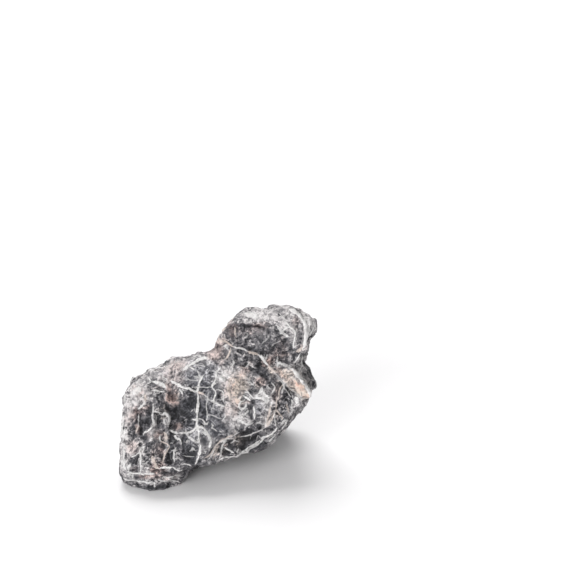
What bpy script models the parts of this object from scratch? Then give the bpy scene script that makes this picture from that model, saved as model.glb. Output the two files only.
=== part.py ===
"""Seiryu stone: one weathered lump of grey, white-veined limestone, resting on its foot.

The stone is about 120 mm wide, 95 mm high and 88 mm deep, with +X to the right, +Y away from
the viewer and +Z up. The origin is on the ground under the middle of its bounding box.

It is built as a mason would rough it out. Convex blocks are set out by their corners and joined
into one skin. Flat breaks, hollows, bedding ledges, grooves, ribs and grain are then worked into
that skin, and the foot is levelled.

A corner is read off a drawing of the front, seen from SIGHT degrees above the horizon: how far
right and how far up it shows there, and how far back it lies. All sizes are in millimetres.
"""

import math
import random

import bmesh
import bpy
import numpy as np
from mathutils import Matrix, Vector, kdtree, noise

MM = 0.001

# How high above the horizon the front drawing is seen from, in degrees
SIGHT = 26.0

# Grid of the skin while it is roughed out and when it is worked, and triangles before levelling
ROUGH_GRAIN = 1.5
FINE_GRAIN = 0.85
TRIANGLES = 10600

# How far the blocks reach below the ground before the foot is levelled
FOOT_DEPTH = 3.0

# The way the bedding faces, which is the way the front face looks
BED = Vector((0.06, -0.8, 0.6)).normalized()

TOE = [
    # Ground line of the front foot, left to right
    (-59.7, -10.8, -30), (-54, -13.6, -32.5), (-43, -16.5, -37.5), (-32, -16.2, -37), (-24, -10.6, -33),
    # Edge above it
    (-58.4, -7, -33.5), (-50, -10, -39.5), (-38, -11, -42), (-28, -9.5, -40.5),
    # Foot of the face
    (-58, -2, -34), (-50, -3, -38), (-38, -3.5, -41), (-25, -3.5, -39.5), (-15.5, -1.5, -36.5),
    # Up under the face, and back
    (-58.5, 14, -26), (-20, 20, -22), (-56, 10, 6), (-24, 16, 10),
]

TOE_FOOT = [(-57, -28), (-44, -38), (-31, -37), (-22, -21), (-15, -5), (-24, 16), (-54, 10)]

BODY = [
    # Lower edge of the face, left to right
    (-58, 0, -32), (-40, -2, -40), (-18, -2, -38.5), (-10, -1, -37), (0, 1, -34.5),
    (10, 3.5, -31), (23, 6.5, -26), (32, 10.5, -21.5),
    # Lower right edge, upwards
    (33.6, 22.6, -15.5), (38, 29.5, -12.5), (43, 35.8, -9), (54, 39.3, -8), (59.5, 43.4, 1),
    # Ridge between the face and its lower right break
    (38, 45, -8.5), (34.5, 36, -13.5), (28, 21.5, -23.5), (18, 16, -27.5), (4, 9, -32),
    # Left edge, upwards
    (-58.5, 16, -25), (-57.5, 36, -13), (-56.5, 43.8, -8),
    # Where the face turns into the shoulder, left to right
    (-50, 45, -9), (-38, 49, -6), (-22, 56, -1), (-8, 63, 3), (4, 68, 6), (33, 53.5, -4),
    # Shoulder, left to right
    (-53.5, 48.7, 0), (-46.5, 53.6, 5), (-41, 56, 8), (-30, 60.8, 13), (-15, 63, 17), (-7, 65.5, 18),
    # Right side and back
    (59, 48, 6), (56, 56, 8), (55, 50, 20), (51, 56, 32), (20, 66, 40), (-20, 61, 34), (-46, 50, 26),
    (-57, 24, 18), (-52, 18, 30), (46, 40, 42), (-30, 32, 44), (16, 36, 47),
]

BODY_FOOT = [
    # Where the body meets the ground: right, back
    (-54, -12), (-30, -14), (-14, 0), (0, 6), (12, 11), (22, 18), (30, 27), (34, 40),
    (12, 43), (-28, 39), (-52, 14),
]

CROWN = [
    # Lower edge, left to right, where the block stands back from the face
    (-4, 71, 9), (8, 68, 8.5), (17, 65, 8.5), (33, 55, 7.5), (46, 58, 3.5),
    # Right front edge, upwards
    (51, 66.5, 3), (52.5, 76, 5), (51, 84, 9), (45, 90.5, 14),
    # Upper front edge, left to right
    (1, 77, 12), (12, 84, 12), (28, 85, 11.5), (40, 87, 12),
    # Skyline, left to right
    (-1.8, 75, 15), (4.2, 82.7, 18), (9.5, 86.3, 20), (15, 91.8, 23), (28, 91.8, 25), (41.5, 95.7, 22),
    (51.5, 90.4, 22), (60.3, 84.3, 18), (60.3, 81.7, 14), (55, 72, 12), (52.5, 65, 9),
    # Back
    (2, 70, 34), (16, 84, 40), (48, 84, 40), (54, 74, 36), (51, 58, 30), (30, 40, 40),
]

RIM = [
    # Lower left border, downwards
    (35, 54.5, -5), (38, 49, -8.5), (45.5, 42, -13.5), (51.3, 37.2, -17),
    # Upper right border, downwards, and the back
    (42, 58, -6.5), (48.5, 52.5, -10), (56, 41.5, -16), (56, 38.2, -17),
    (44, 54, 12), (52, 44, 6), (40, 44, 6),
]

# How squarely the skin has to face the front drawing to count as the front, from barely to fully
FRONT = (0.3, 0.7)

# Share of a break's reach within which it is cut whole
BREAK_CORE = 0.75

# Flat breaks: right, up, back, then the way they face, then how far they reach
BREAKS = [
    (-58.5, -13, -30, (-0.75, -0.55, -0.35), 14),
    (-24, -12, -33, (0.55, -0.75, -0.35), 13),
    (-57.5, 41, -10, (-0.8, -0.35, 0.5), 16),
    (-52, 49.2, -4, (-0.45, -0.2, 0.87), 13),
    (8, 88, 22, (-0.5, 0.25, 0.83), 12),
    (58.5, 78, 11, (0.8, -0.6, 0.05), 12),
    (59, 87, 20, (0.7, 0.1, 0.7), 9),
    (54, 62, 18, (0.95, -0.15, 0.2), 15),
    (-50, 46, 22, (-0.5, 0.6, 0.62), 22),
    (-20, 61, 32, (0.0, 0.6, 0.8), 24),
    (30, 50, 45, (0.25, 0.95, 0.1), 26),
    (-42, 30, 40, (-0.55, 0.8, 0.1), 24),
    (50, 84, 34, (0.45, 0.75, 0.5), 20),
    (10, 80, 36, (-0.55, 0.7, 0.45), 22),
]

# How far a hollow's outline wanders, over what length, both as shares of its width, and the
# most that is pressed in, as a share of its depth
HOLLOW_WANDER = 0.18
HOLLOW_WAVE = 0.5
HOLLOW_MOST = 1.4

# Hollows: right, up, back of the deepest place, then the way they open, width and depth
HOLLOWS = [
    (14, 10.5, -25, (0.35, -0.85, -0.2), 17, 3.2),
    (23, 13.5, -23, (0.45, -0.85, -0.1), 12, 2.2),
    (23, 73, 8, (0.0, -0.9, 0.35), 30, 1.0),
    (9, 42, -13, (0.0, -0.8, 0.6), 14, 1.0),
    (-19, 46, -9, (0.0, -0.8, 0.6), 26, 0.7),
    (-12, 62, 30, (0.1, 0.75, 0.65), 26, 5.0),
    (-34, 40, 42, (-0.3, 0.95, 0.0), 24, 5.0),
    (8, 36, 48, (0.0, 1.0, 0.05), 26, 6.0),
    (34, 60, 42, (0.2, 0.95, 0.2), 22, 4.5),
    (22, 84, 38, (-0.1, 0.8, 0.6), 18, 3.5),
    (50, 50, 26, (0.98, 0.2, 0.0), 20, 4.0),
    (46, 30, 20, (0.8, 0.1, -0.55), 20, 4.0),
    (-58, 26, 4, (-0.98, 0.1, 0.1), 20, 3.5),
    (-56, 10, -8, (-0.95, -0.1, 0.0), 15, 2.5),
    (-20, 24, 44, (0.1, 0.95, -0.25), 18, 4.0),
]

# How far a stroke's path wanders, over what length, and the shares of its width at which its
# full height ends and at which it has run out
STROKE_WANDER = 1.5
STROKE_WAVE = 5.0
STROKE_CORE = 0.15
STROKE_EDGE = 0.6

# Grooves (sunk) and ribs (raised) on the front: height, width, then right and up along them
STROKES = [
    (-1.6, 4.4, [(-25, 42), (-27, 33), (-28.5, 22)]),
    (-1.3, 3.2, [(-36.5, 29), (-36.3, 21)]),
    (-0.8, 3.4, [(-45, 26), (-44, 10)]),
    (-0.8, 3.0, [(-33, 16), (-34, 6), (-31, 0)]),
    (0.9, 3.4, [(-31.5, 30), (-31.5, 20)]),
    (0.8, 3.2, [(-40, 33), (-41, 22), (-39, 12)]),
    (-2.0, 5.0, [(-28.5, 41.5), (-28.2, 39.5)]),
    (0.9, 2.6, [(6.2, 50), (5.3, 43), (7, 36), (7.8, 29.5)]),
    (1.1, 2.4, [(-0.6, 71.6), (7.8, 69), (17, 66), (25.5, 63), (29, 58), (32.5, 54.7)]),
    (0.8, 2.2, [(39, 46), (35, 36), (32, 28), (28, 21), (19, 16), (10, 15), (4, 11)]),
    (0.8, 2.4, [(45, 92), (51.5, 83), (52.5, 75), (51, 66.5), (46.5, 60)]),
    (0.7, 2.2, [(38, 82.5), (45, 78), (45.7, 72), (44.5, 66)]),
    (-1.0, 2.6, [(46, 84), (48.8, 76), (48, 67)]),
    (-0.7, 2.0, [(-58, -5), (-44, -6), (-28, -6)]),
    (-0.9, 6.0, [(-18, 38), (-18.5, 27)]),
]

# Where the bedding starts, then each bed's thickness and how far it stands out, front to back
LEDGE_TOP = 44.0
LEDGES = [
    (2.6, 0.0), (1.8, -0.9), (3.0, 0.2), (1.6, -1.3), (2.8, 0.0), (3.6, -0.8), (1.4, -2.0),
    (4.4, 0.3), (2.4, -1.2), (5.2, 0.0), (1.6, -2.2), (3.4, -0.3), (5.8, 0.4), (2.2, -1.6),
    (4.6, -0.2), (1.8, -2.0), (5.0, 0.2), (3.2, -1.1), (6.0, 0.0), (2.0, -1.8), (6.4, 0.1),
]

# How much the bedding waves, over what length, and how strong a ledge is at least and at most
BED_WAVE = 1.6
BED_WAVE_LENGTH = 26.0
BED_PATCH_LENGTH = 22.0
BED_WEAK = 0.5
BED_STRONG = 1.2

# Small breaks: distance apart, tilt, how far the skin swells first, most that is cut, the share
# that is cut on the sides and on the front face, how uneven the distances are, and how alike the
# skin and a break must face
FACET_GAP = 10.0
FACET_TILT = 0.28
FACET_RISE = 0.6
FACET_MOST = 3.0
FACET_SIDE = 1.0
FACET_FRONT = 0.3
FACET_SPACING = (0.6, 1.2)
FACET_SAME_SIDE = 0.6

# Roughness: height and size of its coarse and its fine hollows, how much calmer the front is,
# and height and size of the runs down its left
CALM = 0.55
COARSE = (1.2, 15.0)
FINE = (0.7, 5.5)
RUNS = (0.9, 5.0)
RUNS_STRETCH = np.array((1.0, 0.3, 0.3))
RUNS_FADE = (-28.0, -12.0)

# Which stretch of noise each kind of unevenness is taken from
BED_SEED = 1
PATCH_SEED = 2
COARSE_SEED = 3
FINE_SEED = 4
FACET_SEED = 5
RUNS_SEED = 8
HOLLOW_SEED = 11
STROKE_SEED = 21

LIMESTONE = (0.13, 0.13, 0.135, 1.0)
ROUGHNESS = 0.75


def corner(right, up, back):
    """The place of a corner of the front drawing."""
    tilt = math.radians(SIGHT)
    height = (up - back * math.sin(tilt)) / math.cos(tilt)
    return Vector((right, back, height))


def hull(name, corners):
    """A convex block over its corners."""
    mesh = bpy.data.meshes.new(name)
    block = bmesh.new()
    for place in corners:
        block.verts.new(place)
    made = bmesh.ops.convex_hull(block, input=block.verts)
    inside = {v for v in made["geom_interior"] if isinstance(v, bmesh.types.BMVert)}
    bmesh.ops.delete(block, geom=list(inside), context="VERTS")
    bmesh.ops.recalc_face_normals(block, faces=block.faces)
    block.to_mesh(mesh)
    block.free()
    return mesh


def evaluated(obj):
    """A new mesh of the object with its modifiers applied."""
    graph = bpy.context.evaluated_depsgraph_get()
    return bpy.data.meshes.new_from_object(obj.evaluated_get(graph))


def reskin(mesh, grain, triangles=None):
    """The mesh as one closed skin, thinned to a number of triangles if one is given."""
    holder = bpy.data.objects.new("holder", mesh)
    bpy.context.scene.collection.objects.link(holder)
    skin = holder.modifiers.new("skin", "REMESH")
    skin.mode = "VOXEL"
    skin.voxel_size = grain
    made = evaluated(holder)
    if triangles:
        thin = holder.modifiers.new("thin", "DECIMATE")
        thin.use_collapse_triangulate = True
        thin.ratio = triangles / (2.0 * len(made.polygons))
        made = evaluated(holder)
    bpy.data.objects.remove(holder)
    return made


class Skin:
    """Places and outward directions of a mesh's vertices, in numpy."""

    def __init__(self, mesh):
        self.mesh = mesh
        count = len(mesh.vertices)
        self.places = np.empty(count * 3)
        mesh.vertices.foreach_get("co", self.places)
        self.places = self.places.reshape(-1, 3)
        edges = np.empty(len(mesh.edges) * 2, dtype=int)
        mesh.edges.foreach_get("vertices", edges)
        self.edges = edges.reshape(-1, 2)
        self.ways = self.outward()

    def spread(self, values, rounds):
        """Values averaged with their neighbours, a number of times."""
        first, second = self.edges[:, 0], self.edges[:, 1]
        share = np.bincount(self.edges.ravel(), minlength=len(values))[:, None] + 1.0
        for _ in range(rounds):
            total = values.copy()
            for axis in range(values.shape[1]):
                total[:, axis] += np.bincount(first, values[second, axis], len(values))
                total[:, axis] += np.bincount(second, values[first, axis], len(values))
            values = total / share
        return values

    def outward(self, rounds=4):
        """Smoothed outward directions."""
        self.write()
        ways = np.empty(len(self.places) * 3, dtype=np.float32)
        self.mesh.vertex_normals.foreach_get("vector", ways)
        ways = self.spread(ways.reshape(-1, 3).astype(float), rounds)
        return ways / np.linalg.norm(ways, axis=1, keepdims=True)

    def write(self):
        """Puts the places back into the mesh."""
        self.mesh.vertices.foreach_set("co", self.places.ravel())
        self.mesh.update()


def fade(value, low, high):
    """0 below low and 1 above high, with a smooth step between them."""
    part = np.clip((value - low) / (high - low), 0.0, 1.0)
    return part * part * (3.0 - 2.0 * part)


def cloud(places, size, seed, octaves=4):
    """Fractal noise of a given size at every place."""
    shift = Vector((seed * 17.3, seed * 5.1, seed * 9.7))
    return np.array([noise.fractal(Vector(p) / size + shift, 0.6, 2.0, octaves) for p in places])


def wander(places, size, amount, seed):
    """The places, shifted about by noise."""
    moved = np.column_stack([cloud(places, size, seed + axis, octaves=1) for axis in range(3)])
    return places + amount * moved


def shown(skin):
    """How squarely each place faces the front drawing, 0 to 1."""
    tilt = math.radians(SIGHT)
    return skin.ways @ np.array((0.0, -math.cos(tilt), math.sin(tilt)))


def break_off(skin, right, up, back, facing, reach):
    """Flattens what stands beyond a plane."""
    middle = np.array(corner(right, up, back))
    way = np.array(Vector(facing).normalized())
    offset = skin.places - middle
    beyond = np.maximum(offset @ way, 0.0)
    near = 1.0 - fade(np.linalg.norm(offset, axis=1), BREAK_CORE * reach, reach)
    skin.places -= (beyond * near)[:, None] * way


def scoop(skin, right, up, back, facing, width, depth):
    """Presses an uneven hollow into the nearest skin."""
    target = np.array(corner(right, up, back))
    way = np.array(Vector(facing).normalized())
    nearest = np.argmin(np.linalg.norm(skin.places - target, axis=1))
    radius = (width * width / 4.0 + depth * depth) / (2.0 * depth)
    centre = skin.places[nearest] + way * (radius - depth)
    places = wander(skin.places, HOLLOW_WAVE * width, HOLLOW_WANDER * width, HOLLOW_SEED)
    offset = places - centre
    distance = np.linalg.norm(offset, axis=1)
    inside = (distance < radius) & (skin.ways @ way > 0.1)
    sunk = np.minimum(radius - distance[inside], HOLLOW_MOST * depth) / distance[inside]
    skin.places[inside] += offset[inside] * sunk[:, None]


def stroke(skin, height, width, path):
    """Raises or sinks a band along a path on the front."""
    tilt = math.radians(SIGHT)
    places = wander(skin.places, STROKE_WAVE, STROKE_WANDER, STROKE_SEED)
    right = places[:, 0]
    up = places[:, 2] * math.cos(tilt) + places[:, 1] * math.sin(tilt)
    away = np.full(len(right), np.inf)
    for (r0, u0), (r1, u1) in zip(path, path[1:]):
        length = math.hypot(r1 - r0, u1 - u0)
        along = ((right - r0) * (r1 - r0) + (up - u0) * (u1 - u0)) / length ** 2
        along = np.clip(along, 0.0, 1.0)
        away = np.minimum(away, np.hypot(right - r0 - along * (r1 - r0),
                                         up - u0 - along * (u1 - u0)))
    band = 1.0 - fade(away, STROKE_CORE * width, STROKE_EDGE * width)
    band *= fade(shown(skin), 0.05, FRONT[0])
    skin.places += (band * height)[:, None] * skin.ways


def bed_ledges(skin):
    """Cuts the bedding of the stone into its sides and back as ledges."""
    bed = np.array(BED)
    across = skin.ways @ bed
    level = LEDGE_TOP - skin.places @ bed + BED_WAVE * cloud(skin.places, BED_WAVE_LENGTH, BED_SEED)
    starts = np.cumsum([0.0] + [thick for thick, _ in LEDGES])
    depths = np.array([depth for _, depth in LEDGES] + [0.0])
    layer = np.clip(np.searchsorted(starts, level, side="right") - 1, 0, len(LEDGES))
    edgewise = skin.ways - across[:, None] * bed
    edgewise /= np.linalg.norm(edgewise, axis=1, keepdims=True) + 1e-9
    patches = fade(cloud(skin.places, BED_PATCH_LENGTH, PATCH_SEED), -0.5, 0.5)
    strength = BED_WEAK + (BED_STRONG - BED_WEAK) * patches
    strength *= fade(1.0 - np.abs(across), 0.25, 0.75)
    skin.places += (strength * depths[layer])[:, None] * edgewise


def facets(skin):
    """Flattens the skin into small breaks that meet at low ridges."""
    pick = random.Random(FACET_SEED)
    order = list(range(len(skin.places)))
    pick.shuffle(order)
    seeds = []
    tree = None
    for index in order:
        place = skin.places[index]
        if tree is None or tree.find(place)[2] > FACET_GAP * pick.uniform(*FACET_SPACING):
            seeds.append(index)
            tree = kdtree.KDTree(len(seeds))
            for number, known in enumerate(seeds):
                tree.insert(skin.places[known], number)
            tree.balance()
    tilts = np.array([[pick.gauss(0.0, 1.0) for _ in range(3)] for _ in seeds])
    planes = skin.ways[seeds] + FACET_TILT * tilts
    planes /= np.linalg.norm(planes, axis=1, keepdims=True)
    tops = skin.places[seeds]
    moved = np.zeros(len(skin.places))
    for index, place in enumerate(skin.places):
        beyond = 0.0
        for _, number, _ in tree.find_n(place, 3):
            if skin.ways[index] @ planes[number] > FACET_SAME_SIDE:
                beyond = max(beyond, float((place - tops[number]) @ planes[number]))
        moved[index] = min(beyond, FACET_MOST)
    share = FACET_SIDE + (FACET_FRONT - FACET_SIDE) * fade(shown(skin), *FRONT)
    skin.places += (FACET_RISE - moved * share)[:, None] * skin.ways


def grain(skin):
    """Roughens the skin with hollows that meet at sharp crests."""
    rough = COARSE[0] * (0.3 - np.abs(cloud(skin.places, COARSE[1], COARSE_SEED)))
    rough += FINE[0] * (0.3 - np.abs(cloud(skin.places, FINE[1], FINE_SEED)))
    left = 1.0 - fade(skin.places[:, 0], *RUNS_FADE)
    rough *= 1.0 - CALM * fade(shown(skin), *FRONT)
    rough += RUNS[0] * left * cloud(skin.places * RUNS_STRETCH, RUNS[1], RUNS_SEED)
    skin.places += rough[:, None] * skin.ways


def level_foot(mesh):
    """Cuts the mesh flat at the ground and closes the cut."""
    block = bmesh.new()
    block.from_mesh(mesh)
    everything = block.verts[:] + block.edges[:] + block.faces[:]
    cut = bmesh.ops.bisect_plane(block, geom=everything, dist=1e-4, plane_co=(0, 0, 0),
                                 plane_no=(0, 0, -1), clear_outer=True)
    rim = [e for e in cut["geom_cut"] if isinstance(e, bmesh.types.BMEdge)]
    bmesh.ops.contextual_create(block, geom=rim)
    bmesh.ops.triangulate(block, faces=block.faces)
    block.to_mesh(mesh)
    block.free()


def keep_largest(mesh):
    """Drops loose crumbs, and bubbles that the cut has closed off, so that one skin is left."""
    block = bmesh.new()
    block.from_mesh(mesh)
    unseen = set(block.verts)
    largest = set()
    while unseen:
        ahead = [unseen.pop()]
        piece = set(ahead)
        while ahead:
            near = {e.other_vert(v) for v in ahead for e in v.link_edges} - piece
            piece |= near
            ahead = list(near)
        unseen -= piece
        if len(piece) > len(largest):
            largest = piece
    crumbs = [v for v in block.verts if v not in largest]
    bmesh.ops.delete(block, geom=crumbs, context="VERTS")
    block.to_mesh(mesh)
    block.free()


def settle(mesh):
    """Moves the mesh over the origin, onto the ground, and turns millimetres into metres."""
    places = np.array([vertex.co for vertex in mesh.vertices])
    low, high = places.min(axis=0), places.max(axis=0)
    middle = Vector(((low[0] + high[0]) / 2, (low[1] + high[1]) / 2, low[2]))
    mesh.transform(Matrix.Scale(MM, 4) @ Matrix.Translation(-middle))
    return middle


def finish():
    """Plain grey limestone."""
    material = bpy.data.materials.new("limestone")
    material.use_nodes = True
    shader = material.node_tree.nodes["Principled BSDF"]
    shader.inputs["Base Color"].default_value = LIMESTONE
    shader.inputs["Roughness"].default_value = ROUGHNESS
    return material


def blocks():
    """The stone's convex blocks, still overlapping, in one mesh."""
    made = []
    for name, corners, foot in (("toe", TOE, TOE_FOOT), ("body", BODY, BODY_FOOT),
                                ("crown", CROWN, []), ("rim", RIM, [])):
        places = [corner(*c) for c in corners]
        places += [Vector((right, back, -FOOT_DEPTH)) for right, back in foot]
        made.append(hull(name, places))
    joined = bmesh.new()
    for block in made:
        joined.from_mesh(block)
    rough = bpy.data.meshes.new("rough")
    joined.to_mesh(rough)
    joined.free()
    return rough


def main():
    """Roughs the stone out, works its skin, levels its foot and sets it on the origin."""
    for obj in list(bpy.data.objects):
        bpy.data.objects.remove(obj)

    skin = Skin(reskin(blocks(), ROUGH_GRAIN))
    for hollow in HOLLOWS:
        scoop(skin, *hollow)
    skin.write()

    skin = Skin(reskin(skin.mesh, FINE_GRAIN))
    skin.places = skin.spread(skin.places, 1)
    for chip in BREAKS:
        break_off(skin, *chip)
    skin.ways = skin.outward(8)
    facets(skin)
    bed_ledges(skin)
    for mark in STROKES:
        stroke(skin, *mark)
    grain(skin)
    skin.write()

    mesh = reskin(skin.mesh, FINE_GRAIN, TRIANGLES)
    level_foot(mesh)
    keep_largest(mesh)
    settle(mesh)

    mesh.name = "stone"
    stone = bpy.data.objects.new("stone", mesh)
    bpy.context.scene.collection.objects.link(stone)
    mesh.materials.clear()
    mesh.materials.append(finish())


if __name__ == "__main__":
    main()
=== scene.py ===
"""Looks of one seiryu stone: dark weathered limestone with white calcite veins and pale crusts.

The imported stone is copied, given a fine skin and worked: small breaks, bedding ledges, flutes, pits
and standing veins. Its colour comes from marks laid over a drawing of the front, from wavy sheets
of calcite that run through the whole stone, and from procedural noise.

Lengths are in millimetres unless a name ends in _m, and turns in degrees. The front drawing is seen
from SIGHT degrees above the horizon. Its places are right and up, as in the part's own drawing.
"""
import sys
import logging
import math
from dataclasses import dataclass, field
from enum import Enum

import bpy
import numpy as np
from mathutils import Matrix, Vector, kdtree, noise


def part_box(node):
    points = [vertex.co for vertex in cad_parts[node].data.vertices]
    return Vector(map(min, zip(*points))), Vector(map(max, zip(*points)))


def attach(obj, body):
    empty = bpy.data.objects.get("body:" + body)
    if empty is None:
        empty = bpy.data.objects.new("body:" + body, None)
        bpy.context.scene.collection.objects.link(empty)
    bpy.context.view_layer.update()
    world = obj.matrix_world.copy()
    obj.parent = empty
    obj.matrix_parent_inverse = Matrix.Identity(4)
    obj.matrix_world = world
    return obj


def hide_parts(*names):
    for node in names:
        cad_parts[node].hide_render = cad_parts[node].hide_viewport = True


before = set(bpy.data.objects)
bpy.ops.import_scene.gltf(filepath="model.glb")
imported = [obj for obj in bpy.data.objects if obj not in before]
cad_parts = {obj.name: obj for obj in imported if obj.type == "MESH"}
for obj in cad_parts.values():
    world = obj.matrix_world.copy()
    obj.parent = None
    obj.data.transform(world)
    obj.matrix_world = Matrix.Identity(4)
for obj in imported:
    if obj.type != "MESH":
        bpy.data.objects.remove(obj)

LOG = logging.getLogger("seiryu")

MM = 0.001
SIGHT = 26.0
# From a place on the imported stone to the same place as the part's source first drew it
SETTLED = (-0.48, 1.78, 0.0)
# The way that the bedding faces
BED = (0.06, -0.8, 0.6)
# Noise: how its finer layers fade and shrink, and how far apart its stretches lie
FADING = 0.7
SHRINKING = 2.0
STRIDE = (13.7, 7.9, 3.3)
# The least length that a direction is divided by
LEAST_LENGTH = 1e-9
# Shader noise: its roughness, and the middle of its colours
NOISE_ROUGHNESS = 0.58
MIDDLE_COLOUR = (0.5, 0.5, 0.5)
# Sockets of the mixing node, for colours
MIX_SHARE, MIX_FIRST, MIX_SECOND, MIX_COLOUR = 0, 6, 7, 2


class Ore(Enum):
    """What a drawn vein is made of."""

    CALCITE = "calcite"
    RUST = "rust"


class Tone(Enum):
    """What a drawn patch looks like."""

    DARK = "dark"
    PALE = "pale"
    PINK = "pink"
    BROWN = "brown"
    OCHRE = "ochre"
    SLATE = "slate"


def fade(value: np.ndarray, low: float, high: float) -> np.ndarray:
    """A smooth step from 0 at low to 1 at high."""
    part = np.clip((value - low) / (high - low), 0.0, 1.0)
    return part * part * (3.0 - 2.0 * part)


def tree_of(places: np.ndarray) -> kdtree.KDTree:
    """A search tree over places.

    Args:
        places: The places, one row each.

    Returns:
        The tree, which knows each place by its row.
    """
    tree = kdtree.KDTree(len(places))
    for row, place in enumerate(places):
        tree.insert(place, row)
    tree.balance()
    return tree


@dataclass(frozen=True)
class Cloud:
    """Fractal noise: the size of its lumps, its height, its stretch and its number of layers."""

    size: float
    height: float
    stretch: int
    layers: int

    def plain(self, places: np.ndarray, skip: int = 0) -> np.ndarray:
        """The noise without its height.

        Args:
            places: Where it is wanted, one row each.
            skip: How many stretches further on it is taken from.

        Returns:
            One value for each place, about -1 to 1.
        """
        shift = Vector([(self.stretch + skip) * stride for stride in STRIDE])
        found = [noise.fractal(Vector(place) / self.size + shift, FADING, SHRINKING, self.layers)
                 for place in places]
        return np.array(found)

    def at(self, places: np.ndarray, skip: int = 0) -> np.ndarray:
        """The noise at every place, about -height to height."""
        return self.height * self.plain(places, skip)

    def ridges(self, places: np.ndarray, level: float) -> np.ndarray:
        """Sharp ridges where the noise is zero, that reach level times height."""
        return self.height * (level - np.abs(self.plain(places)))

    def sway(self, places: np.ndarray) -> np.ndarray:
        """Shifts to the right and up at every place."""
        return np.column_stack((self.at(places), self.at(places, skip=2)))


@dataclass(frozen=True)
class Vein:
    """A vein on the front: its ore, full width, brightness, and its path to the right and up."""

    ore: Ore
    width: float
    bright: float
    path: tuple


@dataclass(frozen=True)
class Sheet:
    """A sheet of calcite through the stone: point, facing, width, brightness, and waviness."""

    point: tuple
    facing: tuple
    width: float
    bright: float
    wave: float


@dataclass(frozen=True)
class Patch:
    """A soft patch on the front: its tone, middle, half sizes, strength and turn."""

    tone: Tone
    right: float
    up: float
    wide: float
    high: float
    strength: float
    turn: float = 0.0


@dataclass(frozen=True)
class Drift:
    """Patches of one tone off the front: noise, where they begin and are full, and strength."""

    shape: Cloud
    begin: float
    full: float
    strength: float

    def at(self, places: np.ndarray) -> np.ndarray:
        """How far each place lies in a patch, 0 to 1."""
        return self.strength * fade(self.shape.at(places), self.begin, self.full)


def calcite(width: float, bright: float, *path: tuple) -> Vein:
    """A white vein of the front drawing."""
    return Vein(Ore.CALCITE, width, bright, path)


def rust(width: float, bright: float, *path: tuple) -> Vein:
    """A tan or pinkish vein of the front drawing."""
    return Vein(Ore.RUST, width, bright, path)


def patches(tone: Tone, *rows: tuple) -> tuple:
    """Soft patches of one tone, each a row of middle, half sizes, strength and any turn."""
    return tuple(Patch(tone, *row) for row in rows)


LONG_VEINS = (
    # The long white vein down the middle of the face, with its top branches
    calcite(1.15, 0.95, (-9.5, 52), (-10.8, 50), (-12, 47.5), (-12.8, 44.5), (-13, 41.7)),
    calcite(1.25, 1.0, (-13, 41.7), (-12.3, 39), (-12.5, 36), (-12.9, 33), (-13.3, 30.5),
            (-12.9, 28), (-13.2, 25), (-13.2, 22), (-12.2, 20), (-12, 17), (-12.1, 15),
            (-11.4, 12.5)),
    calcite(1.4, 1.0, (-10.7, 10.6), (-10.9, 8.5), (-11.5, 6), (-12, 4)),
    calcite(0.9, 0.95, (-11.6, 5.6), (-12.2, 3.4), (-13.2, 0.8), (-14.2, -1)),
    calcite(0.8, 0.6, (-13.4, 55), (-12.3, 52.4), (-11, 50.3)),
    calcite(0.7, 0.6, (-15.2, 51.2), (-13, 50.6), (-11.6, 49.8)),
    # The vein that crosses it from the left, and the faint ones beside that
    calcite(1.5, 1.0, (-29, 48.6), (-27, 47.4), (-25, 46.4), (-22.5, 44.9), (-20, 43.9)),
    calcite(1.3, 1.0, (-21, 44.2), (-18, 43.7), (-15.5, 42.6), (-13, 41.7)),
    rust(1.1, 1.0, (-13, 41.7), (-10.8, 41.3), (-9, 40.5)),
    calcite(0.7, 0.7, (-9, 40.5), (-7, 38.7), (-6, 37.4), (-4, 36.3), (-1.5, 35.3)),
    calcite(0.55, 0.6, (-19.5, 49.3), (-16, 48.8), (-12.5, 48.4)),
    calcite(0.55, 0.6, (-16, 44.8), (-12.5, 45), (-9, 44.8), (-5, 44.7)),
    calcite(0.6, 0.6, (-14, 57.8), (-9, 57.9)),
    calcite(1.2, 0.8, (-24.2, 43.6), (-22.8, 42), (-22, 40.2)),
    # The second long vein, right of it
    calcite(0.9, 0.9, (0.8, 57), (-0.4, 55.3), (-1.4, 53)),
    calcite(1.1, 0.95, (-2, 54.5), (-1.6, 52), (-2, 50), (-2.8, 48), (-3.6, 46.6), (-4.2, 45.1)),
    calcite(0.9, 0.95, (-4.2, 45.1), (-3.2, 43.6), (-2.2, 41.8), (-2, 40), (-2.7, 38.3),
            (-3.3, 36.8), (-2.5, 36), (-1.5, 35.3)),
    calcite(1.0, 1.0, (-1.5, 35.3), (0.5, 34.3), (3.6, 33.3)),
    calcite(0.7, 0.8, (-4.2, 45.3), (-2.6, 46.6), (-1.6, 47.8)),
    calcite(0.6, 0.8, (-2.4, 43.5), (0, 43.2), (2.2, 42.2), (3, 39.5), (2.7, 36)),
    calcite(0.45, 0.6, (-1.2, 37.8), (2.6, 37.5)),
    # The thin third one, and hairlines to its right
    calcite(0.65, 0.75, (-6.6, 41.5), (-6.9, 38), (-7.5, 35), (-7.5, 32.5), (-7, 30),
            (-6.8, 27.5), (-7.5, 24.8)),
    calcite(0.5, 0.6, (-6.6, 29), (-3.5, 27.8), (0, 26.4), (1.6, 26)),
    calcite(0.45, 0.5, (-5, 31), (-3.4, 32.6), (-3.2, 35)),
    calcite(0.4, 0.4, (-5.5, 33), (-2, 31.5), (2, 31)),
    calcite(0.7, 0.8, (1.8, 24.4), (3, 26), (4.2, 27.6)),
)

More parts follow.
